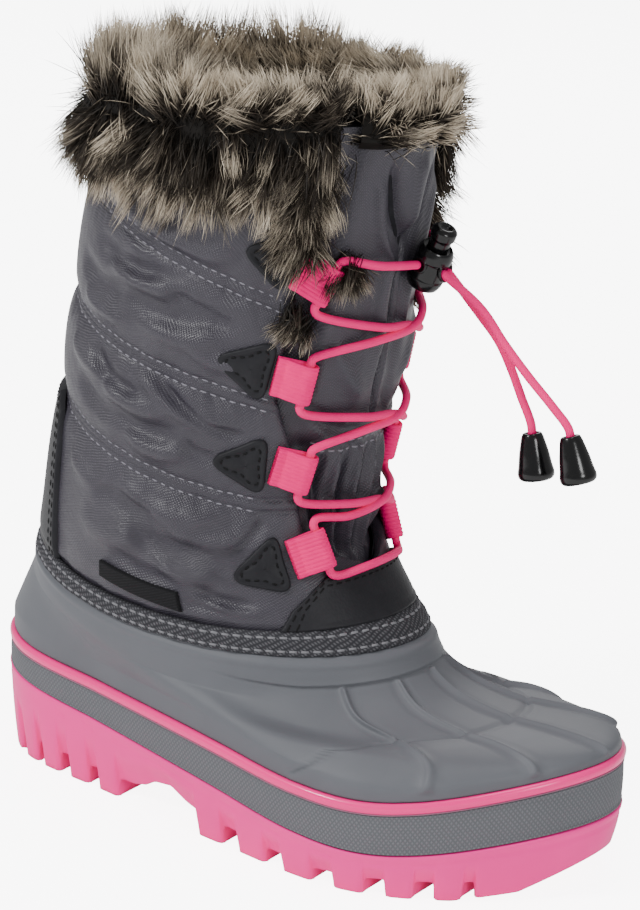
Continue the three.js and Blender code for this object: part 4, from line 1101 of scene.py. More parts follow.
# Large folds of the tongue: from and to (degrees, section), half width and height in mm
TONGUE_FOLDS = [
    ((16, 13.5), (1.5, 12.35), 2.6, -1.3), ((-24, 13.5), (-1.5, 12.35), 3.0, -1.1),
    ((22, 13.3), (8, 12.1), 2.6, 0.8),
    ((-30, 13.2), (-10, 12.0), 3.2, 0.8), ((-3, 13.55), (0, 12.6), 5.0, 0.9),
    ((0.5, 12.5), (3, 11.15), 1.8, -1.7),
    ((3, 11.2), (5, 10.15), 1.5, -1.2), ((10, 12.3), (9, 11.2), 3.2, 0.8), ((-9, 12.2), (-6, 11.2), 3.2, 0.8),
    ((30, 11.2), (12, 10.4), 3.2, 0.7), ((-30, 11.3), (-12, 10.5), 3.4, 0.7),
    ((34, 10.2), (8, 9.95), 2.0, -0.8),
    ((-34, 10.2), (-8, 9.95), 2.0, -0.8),
    ((24, 9.68), (22, 8.5), 1.6, -1.1), ((17, 9.68), (16, 8.35), 1.5, 1.0),
    ((11, 9.68), (11, 8.25), 1.4, -1.2),
    ((5, 9.68), (6, 8.2), 1.6, 1.1), ((-1, 9.68), (0, 8.2), 1.3, -1.2), ((-7, 9.68), (-6, 8.2), 1.6, 1.0),
    ((-13, 9.68), (-12, 8.25), 1.4, -1.1), ((-19, 9.68), (-18, 8.4), 1.6, 1.0),
    ((-26, 9.68), (-23, 8.5), 1.4, -1),
    ((28, 9.2), (10, 8.75), 1.8, 0.7), ((-28, 9.1), (-10, 8.7), 1.8, 0.7),
]


def tongue_offset(degrees, t):
    side = np.abs(degrees)
    half = throat_half(t)
    opened = smooth((half - 4 - side) / 13) * smooth((t - 8.27) / 0.6)
    share = (t - TONGUE_SEAM) / (12.9 - TONGUE_SEAM)
    swell = np.where((share > 0) & (share < 1), np.sin(np.pi * np.clip(share, 0, 1)), 0)
    crease = 1 - np.exp(-((degrees + 3) ** 2) / 18)
    instep = 1 - smooth((t - 8.5) / 0.6)
    behind = -SHAFT_WALL - 2 * CLEAR - TONGUE_SETBACK * instep
    return behind + opened * (-behind + TONGUE_PUFF * swell * crease - 0.6)


def tongue_height(degrees, t):
    base = tongue_offset(degrees, t)
    front = smooth((throat_half(t) + 2 - np.abs(degrees)) / 8)
    folds = fold_height(degrees, t, TONGUE_FOLDS, sizes().crease / MM)
    seam = (t - TONGUE_SEAM) * SECTION_MM
    gather = waves(degrees, 0 * t, 5, 31, 4) * np.exp(-(np.abs(seam) / 8) ** 1.5)
    rumple = 0.3 * waves(degrees, t * SECTION_MM, 16, 33)
    pad = 0.9 * smooth(seam / 5) * (1 - smooth((seam - 22) / 20)) - 0.9 * bump(seam, 1.2)
    return base + front * (folds * 0.85 + 0.4 * gather + rumple + pad) - 0.4 * front


def build_tongue():
    rows, lining = [], []
    for t in np.linspace(7.62, COLLAR, 190):
        half = max(throat_half(t), 30) + TONGUE_LAP
        degrees = np.linspace(half, -half, 130)
        rows.append(on_last(degrees, t, tongue_height(degrees, np.full(130, t))))
    for t in np.linspace(7.62, COLLAR, 60):
        half = max(throat_half(t), 30) + TONGUE_LAP
        degrees = np.linspace(half, -half, 50)
        lining.append(on_last(degrees, t, tongue_offset(degrees, np.full(50, t)) - TONGUE_WALL))
    tongue = grid_object("puffed_tongue", np.array(rows))
    finish(tongue, own_material("nylon", nylon_material, "nylon"), "nylon", "tongue")
    finish(grid_object("tongue_lining", np.array(lining)),
           own_material("lining", felt_material, "lining"), "felt")
    degrees = np.linspace(32, -32, 120)
    paths, outs = [], []
    for row in (-1, 1):
        t = np.full(120, TONGUE_SEAM + row * 1.3 / SECTION_MM)
        paths.append(on_last(degrees, t, tongue_height(degrees, t)))
        outs.append(outward(degrees, t))
    sew("tongue_stitches", paths, outs, own_material("quilt_thread", thread_material, "thread"), "nylon",
        width=0.7, height=0.4, length=sizes().stitch / MM)


# Shell
CAP_LINE = [(0, 3.87), (20, 3.85), (36, 3.86), (48.7, 3.56), (62.6, 2.47), (74.5, 0.27)]
STEP_LINE = [(0, 6.18), (17, 6.13), (37, 6.11), (50, 6.1), (66, 6.25), (85, 6.6), (100, 7.0)]


def shell_height(degrees, t):
    """Moulded relief of the shell: ribs, toe-cap line, stepped top band and mould mark, in mm."""
    side = fold_degrees(degrees)
    signed = np.mod(degrees + 180, 360) - 180
    mm_per_degree = 0.95
    rib_high = sizes().rib / MM
    total = np.zeros(degrees.shape)
    below_step = smooth((6.1 - t) / 0.12)
    for top, foot in RIBS:
        for sign in ((1, -1) if top else (1,)):
            line = sign * rib_angle(foot, top, t)
            away = (signed - line) * mm_per_degree * (0.75 + 0.25 * np.clip(t / 6, 0, 1))
            fade = smooth((t - 0.35) / 0.5) * below_step
            total += rib_high * fade * (bump(away, RIB_HALF) - 0.16 * bump(np.abs(away) - 2.6, 0.7))
    cap = np.interp(side, [p[0] for p in CAP_LINE], [p[1] for p in CAP_LINE])
    from_cap = (t - cap) * SHELL_SECTION_MM
    total += np.where(side < 74.5, -1.1 * bump(from_cap, 0.7) + 0.28 * smooth((0.6 - from_cap) / 0.8), 0)
    total -= np.where(side < 74.5, 0.28 * smooth((0.6 - from_cap) / 14), 0)
    step = np.interp(side, [p[0] for p in STEP_LINE], [p[1] for p in STEP_LINE])
    band = smooth((78 - side) / 24)
    from_step = (t - step) * SHELL_SECTION_MM
    total += band * (0.85 * smooth(from_step / 1.1 + 0.5) - 0.25 * bump(from_step + 1.1, 0.6))
    rim = (SEAM_LOW - t) * SHELL_SECTION_MM
    total += -0.7 * bump(rim - 0.2, 1.0) + 0.35 * bump(rim - 2.4, 1.3)
    mark = (degrees - 121 - 1.4 * (t - 4.4)) * mm_per_degree
    total += 0.16 * bump(mark, 0.5) * smooth((t - 2.6) / 0.5) * smooth((5.9 - t) / 0.4)
    total += 0.12 * waves(side * 1.1, t * 14, 40, 41)
    return total


def sole_row(phi, offset, height_at):
    points = outline(phi, offset, 0)
    points[..., 2] = height_at(station(phi))
    return points


def rib_angle(foot, top, t):
    return foot + (top - foot) * np.clip(t / 6, 0, 1)


def shell_columns(t):
    """Angles of the shell's columns at section t, closer together where a rib runs."""
    ribs = [sign * np.array([rib_angle(foot, top, at) for at in (3.0, t)])
            for top, foot in RIBS for sign in ((1, -1) if top else (1,))]
    ribs = np.array(sorted(ribs, key=lambda pair: pair[0]))
    near = (ribs[:, 0][:, None] + np.array([-1.7, -1.2, -0.8, -0.4, 0, 0.4, 0.8, 1.2, 1.7])[None]).ravel()
    even = np.linspace(-180, 180, 372, endpoint=False)
    even = even[np.abs(even[:, None] - ribs[:, 0][None]).min(axis=1) > 2.1]
    at = np.sort(np.concatenate([even, near]))
    ends = np.array([[-180, -180], [-100, -100], [100, 100], [180, 180]])
    knots = np.concatenate([ends[:2], ribs, ends[2:]])
    return np.interp(at, knots[:, 0], knots[:, 1])


# The sections between which the shell's sides run straight
SIDE_SPAN = (1.0, 5.6)


def shell_on(degrees, t, offset):
    """Like on_last, but straight across the boot's sides, where the sections crowd together."""
    degrees, t, offset = np.broadcast_arrays(degrees, float(t), offset)
    low, high = SIDE_SPAN
    share = np.clip((t - low) / (high - low), 0, 1)[..., None]
    foot, head = (on_last(degrees, np.full(t.shape, level), 0) for level in SIDE_SPAN)
    foot_out, head_out = (outward(degrees, np.full(t.shape, level)) for level in SIDE_SPAN)
    straight = foot * (1 - share) + head * share
    straight = straight + unit(foot_out * (1 - share) + head_out * share) * offset[..., None]
    weight = (smooth((fold_degrees(degrees) - 58) / 22) * ((t > low) & (t < high)))[..., None]
    return on_last(degrees, t, offset) * (1 - weight) + straight * weight


def build_shell():
    phi = np.radians(shell_columns(0.0))
    foot_out = FOXING_PROUD - FOXING_WALL - 2 * CLEAR
    rows = [sole_row(phi, foot_out, seat_at), sole_row(phi, foot_out, feather_at)]
    spans = ((0, 1.2, 12), (1.28, 6.0, 62), (6.03, SEAM_LOW, 26))
    levels = np.concatenate([np.linspace(*span) for span in spans])
    for t in levels:
        degrees = shell_columns(t)
        rows.append(shell_on(degrees, t, shell_height(degrees, np.full(len(degrees), t))))
    for drop, up in ((0.5, 0.02), (1.5, 0.025), (2.4, 0.0)):
        rows.append(on_last(degrees, SEAM_LOW + up, -drop))
    for t in np.linspace(SEAM_LOW - 0.1, 0, 18):
        rows.append(shell_on(shell_columns(t), t, -SHELL_WALL))
    inner = foot_out - SHELL_WALL
    rows.append(sole_row(phi, inner, insole_top_at))
    rows.append(sole_row(phi, inner, seat_at))
    shell = grid_object("moulded_shell", np.array(rows), wrap_cols=True, wrap_rows=True, flip=True)
    finish(shell, own_material("shell_rubber", rubber_material, "shell", 0.5), "rubber_grey", "shell")


# Foxing strip, piping bead and insole
def ring_object(name, profile, base_at, span_at, columns=480):
    """A closed band round the sole: profile rows are (offset, share of its height)."""
    phi = 2 * np.pi * np.arange(columns) / columns
    rows = [sole_row(phi, offset, lambda x, s=share: base_at(x) + span_at(x) * s)
            for offset, share in profile]
    grid = np.array(rows)
    return grid_object(name, grid, wrap_cols=True, wrap_rows=True, flip=True)


def build_sole_bands():
    inner = FOXING_PROUD - FOXING_WALL
    lip = FOXING_PROUD + 0.25
    profile = [(inner, 0), (FOXING_PROUD - 0.3, 0), (lip, 0.02), (lip, 0.06), (FOXING_PROUD, 0.085)]
    profile += [(FOXING_PROUD + 0.25 * math.sin(math.pi * s), s) for s in np.linspace(0.12, 0.88, 12)]
    profile += [(FOXING_PROUD, 0.92), (lip, 0.95), (lip, 0.985), (FOXING_PROUD - 0.3, 1), (inner, 1)]
    finish(ring_object("textured_foxing", profile, seat_at, lambda x: foxing_at(x) - CLEAR),
           own_material("foxing_rubber", foxing_material, "foxing"), "rubber_foxing", "foxing")
    bead = [(inner, 0), (PIPING_PROUD * 0.2, 0.0)]
    for turn in np.linspace(-80, 80, 13):
        angle = math.radians(turn)
        bead.append((PIPING_PROUD * (0.1 + 0.9 * math.cos(angle)), 0.5 + 0.5 * math.sin(angle)))
    bead += [(inner, 1)]
    finish(ring_object("glossy_piping", bead, piping_foot_at, lambda x: PIPING_HEIGHT + 0 * x),
           own_material("piping_gloss", gloss_material, "piping"), "rubber_piping", "piping")
    thread = [(FOXING_PROUD * 0.6, -0.05), (FOXING_PROUD + 0.35, -0.02), (FOXING_PROUD + 0.4, 0.06),
              (FOXING_PROUD * 0.6, 0.1)]
    finish(ring_object("piping_edge", thread, piping_foot_at, lambda x: PIPING_HEIGHT + 0 * x),
           material_named("pale_edge", thread_material, linear("#93667a")), "rubber_piping")


def build_insole():
    edge = FOXING_PROUD - FOXING_WALL - 2 * CLEAR - SHELL_WALL - 1.8
    phi = np.linspace(0, np.pi, 90)
    out = sole_row(phi, edge, insole_top_at)
    back = sole_row(-phi, edge, insole_top_at)
    across = np.linspace(0, 1, 40)[:, None, None]
    top = out[None] * (1 - across) + back[None] * across
    top[..., 2] += 0.9 * (2 * across[..., 0] - 1) ** 2
    low = [sole_row(phi, edge, seat_at), sole_row(-phi, edge, seat_at)]
    grid = np.concatenate([low[0][None], top, low[1][None]])
    finish(grid_object("felt_insole", grid, wrap_rows=True),
           own_material("lining", felt_material, "lining"), "felt", "insole")


# Outsole, as slices across it from toe to heel
def cleat_mask(x, spans, edge=0.35):
    """1 inside the spans, in shares of the length, with steep sides."""
    total = np.zeros(np.shape(x))
    for low, high in spans:
        past_low = smooth((x - low * LENGTH) / (2 * edge) + 0.5)
        short_of_high = smooth((high * LENGTH - x) / (2 * edge) + 0.5)
        total = np.maximum(total, past_low * short_of_high)
    return total


def build_outsole():
    bar_spans = [(bar["at"] - bar["long"] / 2, bar["at"] + bar["long"] / 2) for bar in BARS]
    edges = np.array([e for span in CLEATS + bar_spans for e in span]) * LENGTH
    back, front = 0.008 * LENGTH, 0.992 * LENGTH
    stations = back + (front - back) * (1 + np.cos(np.linspace(0, np.pi, 250))) / 2
    extra = (edges[:, None] + np.array([-0.4, -0.14, 0.14, 0.4])[None]).ravel()
    extra = extra[(extra > back) & (extra < front)]
    stations = np.unique(np.round(np.concatenate([stations, extra]), 3))[::-1]
    phi = np.arccos(np.clip(2 * (stations - back) / (front - back) - 1, -1, 1))
    top = sole_top_at(stations)
    tread = SOLE_HEIGHT * line_table(TREAD_FOOT, "height", stations / LENGTH)
    under = SOLE_HEIGHT * smooth_table(UNDER, "height", stations / LENGTH)
    recess = SOLE_HEIGHT * line_table(RECESS, "height", stations / LENGTH)
    side_spans = CLEATS + [(-0.1, 0.07), (0.885, 1.1)]
    mask = cleat_mask(stations, side_spans)
    low = recess + (tread - recess) * mask
    gap_middle = 1 - cleat_mask(stations, side_spans, edge=1.6)

    def side_wall(sign):
        rows = [outline(sign * phi, SOLE_FLARE - 1.2, top), outline(sign * phi, SOLE_FLARE - 0.25, top - 0.1)]
        for share in np.linspace(0, 1, 15):
            z = (top - 0.5) + (low - top + 0.5) * share
            fall = np.clip((top - z) / np.maximum(top - tread, 1), 0, 1)
            lean = SOLE_FLARE - 0.35 * smooth(fall / 0.25) - 2.6 * fall ** 1.6
            scoop = 2.4 * gap_middle * smooth((share - 0.35) / 0.65)
            rib = 0.35 * bump((top - z) - 3.2, 0.8)
            rows.append(outline(sign * phi, lean - scoop - rib, z))
        rows.append(outline(sign * phi, lean - scoop - 0.5, low - 0.35 * (1 - mask)))
        rows.append(outline(sign * phi, lean - scoop - 1.1, np.where(mask > 0.5, tread, low)))
        return rows
    lateral = side_wall(1)
    medial = side_wall(-1)
    edge_a, edge_b = lateral[-1], medial[-1]
    wide = np.maximum(np.abs(edge_a[:, 1] - edge_b[:, 1]), 0.01)
    reach = np.minimum(CLEAT_REACH / wide, 0.3)
    bar_at, bar_wide = (np.array([bar[key] for bar in BARS]) for key in ("at", "wide"))
    nearest = np.argmin(np.abs(stations[:, None] / LENGTH - bar_at[None]), axis=1)
    bar_half = np.minimum(bar_wide[nearest] * BALL_WIDTH / 2 / wide, 0.5 - reach * 0.5)
    soft = np.minimum(0.35 / wide, 0.02)
    inner = 0.5 - np.minimum(bar_half, 0.5 - reach - 3 * soft)
    bar_on = cleat_mask(stations, bar_spans)
    shares = [0.5 * reach, reach - soft, reach + soft, (reach + inner) / 2]
    shares += [inner - soft, inner + soft, (inner + 0.5) / 2]
    kinds = [mask, mask, 0 * mask, 0 * mask, 0 * mask, bar_on, bar_on]
    heights = [under + (tread - under) * kind for kind in kinds]
    middle = under + (tread - under) * bar_on
    across = [(s, h) for s, h in zip(shares, heights)] + [(0.5 + 0 * reach, middle)]
    across += [(1 - s, h) for s, h in zip(shares[::-1], heights[::-1])]
    rows = list(lateral)
    for share, height in across:
        points = edge_a * (1 - share[:, None]) + edge_b * share[:, None]
        points[:, 2] = height
        rows.append(points)
    rows += medial[::-1]
    for share in (0.75, 0.5, 0.25):
        points = lateral[0] * (1 - share) + medial[0] * share
        rows.append(points)
    grid = np.array(rows)
    sole = grid_object("cleated_outsole", grid, wrap_rows=True, flip=True)
    finish(sole, own_material("sole_rubber", rubber_material, "sole", 0.42), "rubber_pink", "outsole")


# Binding strip over the seam, with its two rows of pale stitches
def build_binding():
    columns = 520
    degrees = 360 * np.arange(columns) / columns
    around_mm, level_mm = degrees * 1.2, 0 * degrees
    wobble = 0.012 * waves(around_mm, level_mm, 26, 51) + 0.006 * waves(around_mm, level_mm, 7, 52)
    low, high = SEAM_LOW + 0.01 + wobble * 0.5, SEAM_HIGH + wobble
    rows = []
    profile = [(0, -BINDING_THICK), (0, BINDING_PROUD * 0.4), (0.03, BINDING_PROUD)]
    profile += [(0.12, BINDING_PROUD + 0.25), (0.22, BINDING_PROUD - 0.1)]
    profile += [(0.3, BINDING_PROUD + 0.2), (0.5, BINDING_PROUD + 0.45)]
    profile += [(0.68, BINDING_PROUD + 0.2), (0.76, BINDING_PROUD - 0.1), (0.86, BINDING_PROUD + 0.25)]
    profile += [(0.97, BINDING_PROUD), (1, BINDING_PROUD * 0.3), (1, -BINDING_THICK)]
    rumple = 0.32 * waves(around_mm, level_mm, 9, 53)
    for share, offset in profile:
        rows.append(on_last(degrees, low + (high - low) * share, offset + rumple * (offset > 0)))
    strip = grid_object("woven_binding", np.array(rows), wrap_cols=True, wrap_rows=True, flip=True)
    tape = own_material("binding_tape", woven_material, "binding", tuple(colours().yarn), 1.3)
    finish(strip, tape, "binding", "seam_binding")
    paths, outs = [], []
    around = np.append(degrees, 360)
    for share in (0.22, 0.76):
        t = np.append(low + (high - low) * share, low[0] + (high[0] - low[0]) * share)
        lift = np.append(rumple, rumple[0]) + BINDING_PROUD
        paths.append(on_last(around, t, lift))
        outs.append(outward(around, t))
    sew("binding_stitches", paths, outs, own_material("pale_thread", thread_material, "yarn"), "binding",
        width=1.0, height=0.55, length=3.1, gap=1.0)


# Leather panels laid on the shaft
def panel_object(name, corners_at, thick, rows=40, cols=90, lift=PATCH_LIFT, soft=1.1, dome=0.0):
    """A thin panel: corners_at maps shares across and up to (degrees, section)."""
    u = seam_rows(cols)
    v = seam_rows(rows)
    uu, vv = np.meshgrid(u, v)
    degrees, t = corners_at(uu, vv)
    flat = on_last(degrees, t, 0)
    wide = np.linalg.norm(np.diff(flat, axis=1), axis=2).sum(axis=1).mean()
    tall = np.linalg.norm(np.diff(flat, axis=0), axis=2).sum(axis=0).mean()
    inward = np.minimum(np.minimum(uu, 1 - uu) * wide, np.minimum(vv, 1 - vv) * tall)
    edge = np.sqrt(np.clip(1 - (1 - np.clip(inward / soft, 0, 1)) ** 2, 0, 1))
    height = shaft_puff(degrees, t) + lift - 0.9 + (thick + 0.9) * edge + dome * smooth(inward / 12)
    return grid_object(name, on_last(degrees, t, height)), (wide, tall)


def panel_edge(corners_at, inset, wide, tall, thick, sides_wanted):
    """Paths that run inset millimetres inside the panel's edges."""
    paths, outs = [], []
    du, dv = inset / wide, inset / tall
    run = np.linspace(0, 1, 160)
    edges = {
        "top": (du + (1 - 2 * du) * run, np.full(160, 1 - dv)),
        "left": (np.full(160, du), run * (1 - dv)),
        "right": (np.full(160, 1 - du), run * (1 - dv)),
    }
    for side in sides_wanted:
        degrees, t = corners_at(*edges[side])
        paths.append(on_last(degrees, t, shaft_puff(degrees, t) + PATCH_LIFT + thick))
        outs.append(outward(degrees, t))
    return paths, outs


def vamp_corners(u, v):
    t = SEAM_HIGH - 0.02 + (8.05 - SEAM_HIGH + 0.02) * v
    half = np.interp(t, [7.4, 7.68, 7.85, 8.05], [50, 42, 34, 25])
    return half * (1 - 2 * u), t


def stay_corners(u, v):
    t = SEAM_HIGH - 0.02 + (9.62 - SEAM_HIGH + 0.02) * v
    half = np.interp(t, [7.4, 8.5, 9.0, 9.4, 9.62], [49.5, 47, 45, 40, 31])
    return 180 - half * (1 - 2 * u), t


def tag_corners(u, v):
    low = 7.56 + 0.17 * u
    high = 7.86 + 0.13 * u
    return 78 + TAG_REACH * u - 0.5 * v, low + (high - low) * v


def build_panels():
    leather = own_material("leather", leather_material, "leather")
    stitch = material_named("black_thread", thread_material, linear("#0d0d0e"))
    paths, outs = [], []
    for name, corners_at, node, sides_wanted in (
        ("leather_vamp_patch", vamp_corners, "vamp_patch", ("top", "left", "right")),
        ("leather_back_stay", stay_corners, "back_stay", ("top", "left", "right")),
    ):
        panel, (wide, tall) = panel_object(name, corners_at, LEATHER_THICK)
        finish(panel, leather, "leather", node)
        for inset in (1.9, 4.1):
            more_paths, more_outs = panel_edge(corners_at, inset, wide, tall, LEATHER_THICK, sides_wanted)
            paths += more_paths
            outs += more_outs
    sew("panel_stitches", paths, outs, stitch, "leather",
        width=0.75, height=0.45, length=sizes().stitch / MM)
    tag, _ = panel_object("woven_side_tag", tag_corners, TAG_THICK, rows=24, cols=60,
                          lift=PATCH_LIFT + 0.2, soft=0.6)
    finish(tag, material_named("tag_weave", woven_material, linear("#111113"), linear("#29292c"), 0.7),
           "binding", "side_tag")


# Corner patches beside the throat
def patch_ring(corners, count=24, cut=0.3):
    """Rounded outline of a patch, in (degrees, section)."""
    corners = [np.array(c, float) for c in corners]
    ring = []
    for k, corner in enumerate(corners):
        before = corner + (corners[k - 1] - corner) * cut
        after = corner + (corners[(k + 1) % 3] - corner) * cut
        for u in np.linspace(0, 1, count, endpoint=False):
            ring.append((1 - u) ** 2 * before + 2 * u * (1 - u) * corner + u * u * after)
        following = corners[(k + 1) % 3] + (corner - corners[(k + 1) % 3]) * cut
        for u in np.linspace(0, 1, 10, endpoint=False):
            ring.append(after + (following - after) * u)
    return np.array(ring)


def build_patches():
    leather = own_material("leather", leather_material, "leather")
    stitch = material_named("black_thread", thread_material, linear("#0d0d0e"))
    paths, outs = [], []
    for tag, side in SIDES:
        for k, corners in enumerate(PATCHES):
            middle = np.mean(np.array(corners), axis=0)
            ring = patch_ring(corners)
            ring = middle + (ring - middle) * 1.12
            reach = np.hypot(ring[:, 0] - middle[0], (ring[:, 1] - middle[1]) * SECTION_MM)
            depth_mm = np.array([0, 0, 0.15, 0.45, 0.9, 1.4, 1.9, 2.3, 2.8, 3.4, 4.2, 5.2, 6.4, 7.8, 9.4])
            rise = np.array([-1.2, 0.2, 0.75, 1.05, 1.25, 1.25, 1.1, 0.8, 0.72,
                             0.85, 1.05, 1.2, 1.3, 1.35, 1.4])
            share = 1 - np.clip(depth_mm[:, None] / reach[None], 0, 0.995)
            spots = middle + (ring[None] - middle) * share[..., None]
            degrees, t = side * spots[..., 0], spots[..., 1]
            height = shaft_puff(degrees, t) + PATCH_LIFT + rise[:, None] * LEATHER_THICK / 1.2 - 0.3
            rows = on_last(degrees, t, height)
            centre = np.repeat(rows[-1:].mean(axis=1, keepdims=True), rows.shape[1], axis=1)
            grid = np.concatenate([rows, centre])
            patch = grid_object(f"leather_patch_{tag}_{k + 1}", grid, wrap_cols=True, flip=side < 0)
            finish(patch, leather, "leather", f"loop_patch_{tag}_{k + 1}")
            line = middle + (ring - middle) * (1 - np.clip(2.9 / reach, 0, 0.9))[:, None]
            line = np.concatenate([line, line[:1]])
            at, level = side * line[:, 0], line[:, 1]
            paths.append(on_last(at, level, shaft_puff(at, level) + PATCH_LIFT + 0.45))
            outs.append(outward(at, level))
    sew("patch_stitches", paths, outs, stitch, "leather",
        width=0.8, height=0.5, length=2.1, gap=0.9)


# Webbing loops: a ribbed tape folded round the lace
def cord_radius():
    return sizes().cord / MM / 2


def fold_radius():
    return cord_radius() + WEB_THICK + 0.25


def loop_frame(loop, side):
    (sewn_d, sewn_t), (fold_d, fold_t) = loop
    start = on_last(side * sewn_d, sewn_t, 0)
    end = on_last(side * fold_d, fold_t, 0)
    middle = outward(side * (sewn_d + fold_d) / 2, (sewn_t + fold_t) / 2)
    along = unit(end - start)
    out = unit(middle - along * np.dot(middle, along))
    return start, along, out, np.cross(out, along)


def build_loops():
    webbing = own_material("webbing", webbing_material, "cord")
    pink_thread = own_material("pink_thread", thread_material, "cord")
    radius = fold_radius()
    half = WEB_THICK / 2
    middle_x = WEB_LENGTH - radius
    bend = np.radians(np.linspace(-90, 118, 22))
    arc = (radius - half) * np.column_stack([np.cos(bend), np.sin(bend)]) + [middle_x, radius]
    low = np.column_stack([np.linspace(-1.5, middle_x - 0.6, 8), np.full(8, half)])
    high = np.array([[3.4, 2.5], [1.8, 1.6], [0, 1.5], [-1.2, 1.3]]) * [1, WEB_THICK]
    line = np.concatenate([low, arc, high])
    line = smooth_path(np.column_stack([line, np.zeros(len(line))]), 0.7)[:, :2]
    tangent = unit(np.gradient(line, axis=0))
    normal = np.column_stack([tangent[:, 1], -tangent[:, 0]])
    across = np.linspace(-1, 1, 62)
    rib_count = 10
    ridge = 0.34 * np.abs(np.cos(np.pi * rib_count * (across + 1) / 2)) ** 0.7
    edge = np.clip((1 - np.abs(across)) * WEB_WIDTH / 2 / 0.45, 0, 1)
    outer = half * np.sqrt(np.clip(1 - (1 - edge) ** 2, 0, 1)) + ridge * edge
    inner_across = np.linspace(1, -1, 14)[1:-1]
    paths, outs = [], []
    for tag, side in SIDES:
        for k, loop in enumerate(LOOPS):
            start, along, out, up = loop_frame(loop, side)

            def place(x, y, z):
                y = y + LOOP_LIFT
                return start + along * x[..., None] + out * y[..., None] + up * z[..., None]
            x = line[:, :1] + normal[:, :1] * outer[None]
            y = line[:, 1:] + normal[:, 1:] * outer[None]
            z = np.broadcast_to(across * WEB_WIDTH / 2, x.shape)
            xi = line[:, :1] - normal[:, :1] * half + 0 * inner_across[None]
            yi = line[:, 1:] - normal[:, 1:] * half + 0 * inner_across[None]
            zi = np.broadcast_to(inner_across * WEB_WIDTH / 2, xi.shape)
            grid = np.concatenate([place(x, y, z), place(xi, yi, zi)], axis=1)
            piece = grid_object(f"ribbed_loop_{tag}_{k + 1}", grid, wrap_cols=True, flip=side > 0)
            finish(piece, webbing, "webbing", f"webbing_loop_{tag}_{k + 1}")
            for x0 in (0.6, 2.2):
                z_run = np.linspace(-0.44, 0.44, 30) * WEB_WIDTH
                height = 2.15 * WEB_THICK if x0 < 1 else 2.45 * WEB_THICK
                paths.append(place(np.full(30, x0), np.full(30, height - 0.25), z_run))
                outs.append(np.broadcast_to(out, (30, 3)))
    sew("loop_stitches", paths, outs, pink_thread, "webbing",
        width=0.6, height=0.35, length=1.6, gap=0.6)


# Lace
CROSSINGS = [(1, (-5, 11.3)), (2, (-6, 10.1)), (3, (-5, 8.95))]
LOCK_CENTRE = np.array([166.1 - HEEL_SPOT, 5, 201])
LOCK_AXIS = unit(np.array([0.42, -0.1, 0.9]))
TAILS = [
    ("long", [(186, 6, 189), (196, 5, 179), (206, 4, 170), (217, 3, 161), (223, 3, 155)], (226, 3, 145)),
    ("short", [(183, 9, 187), (191, 10, 178), (196, 10, 170), (201, 10, 160), (205, 10, 152)],
     (207, 10, 141)),
]


def lace_lift():
    return TONGUE_PUFF + cord_radius() + 1.2


def loop_mouth(k, side, upper, beyond):
    start, along, out, up = loop_frame(LOOPS[k], side)
    rise = (1 if upper else -1) * (1 if up[2] > 0 else -1) * (WEB_WIDTH / 2 + beyond)
    radius = fold_radius()
    return start + along * (WEB_LENGTH - radius) + out * (radius + LOOP_LIFT) + up * rise


def lace_run(k, side, upper, middle):
    """From inside a loop out of one of its mouths, then on through the middle points."""
    bend = loop_mouth(k, side, upper, 3.4) + loop_frame(LOOPS[k], side)[1] * 1.6
    return [loop_mouth(k, side, upper, 0.4), loop_mouth(k, side, upper, 1.8), bend, *middle]


def near_tongue(degrees, t, lift=0.0):
    return on_last(degrees, t, lace_lift() + lift)


def crossing(k, rising):
    """Points of one cord over crossing k, from the lateral loop to the medial one."""
    low, (degrees, level) = CROSSINGS[k]
    if rising:
        middle = [near_tongue(14, level - 0.08), near_tongue(degrees, level, 0.55 * cord_radius()),
                  near_tongue(-17, level + 0.12)]
        return lace_run(low, 1, True, middle) + lace_run(low - 1, -1, False, [])[::-1]
    middle = [near_tongue(14, level + 0.1), near_tongue(degrees, level, -0.55 * cord_radius()),
              near_tongue(-17, level - 0.12)]
    return lace_run(low - 1, 1, False, middle) + lace_run(low, -1, True, [])[::-1]


def top_run(side):
    inlet = LOCK_CENTRE + np.array([-0.5, -side * (LOCK_RADIUS - 0.6), 1])
    return lace_run(0, side, True, [near_tongue(side * 21, 12.28, 1)]) + [inlet]


def build_lace():
    """One cord from the lock down through all the loops and back up to it."""
    bar = lace_run(3, 1, False, [near_tongue(10, 8.05), near_tongue(-10, 8.05)])
    bar += lace_run(3, -1, False, [])[::-1]
    points = top_run(1)[::-1]
    points += crossing(0, False)
    points += crossing(1, True)[::-1]
    points += crossing(2, False)
    points += bar[::-1]
    points += crossing(2, True)
    points += crossing(1, False)[::-1]
    points += crossing(0, True)
    points += top_run(-1)
    lace = tube_object("elastic_lace", smooth_path(points, 0.8), cord_radius(), sides=14)
    nodes = [f"lace_crossing_{k + 1}" for k in range(3)] + ["lace_bottom_bar"]
    nodes += [f"lace_top_run_{tag}" for tag, _ in SIDES]
    finish(lace, own_material("cord", cord_material, "cord"), "cord", *nodes)


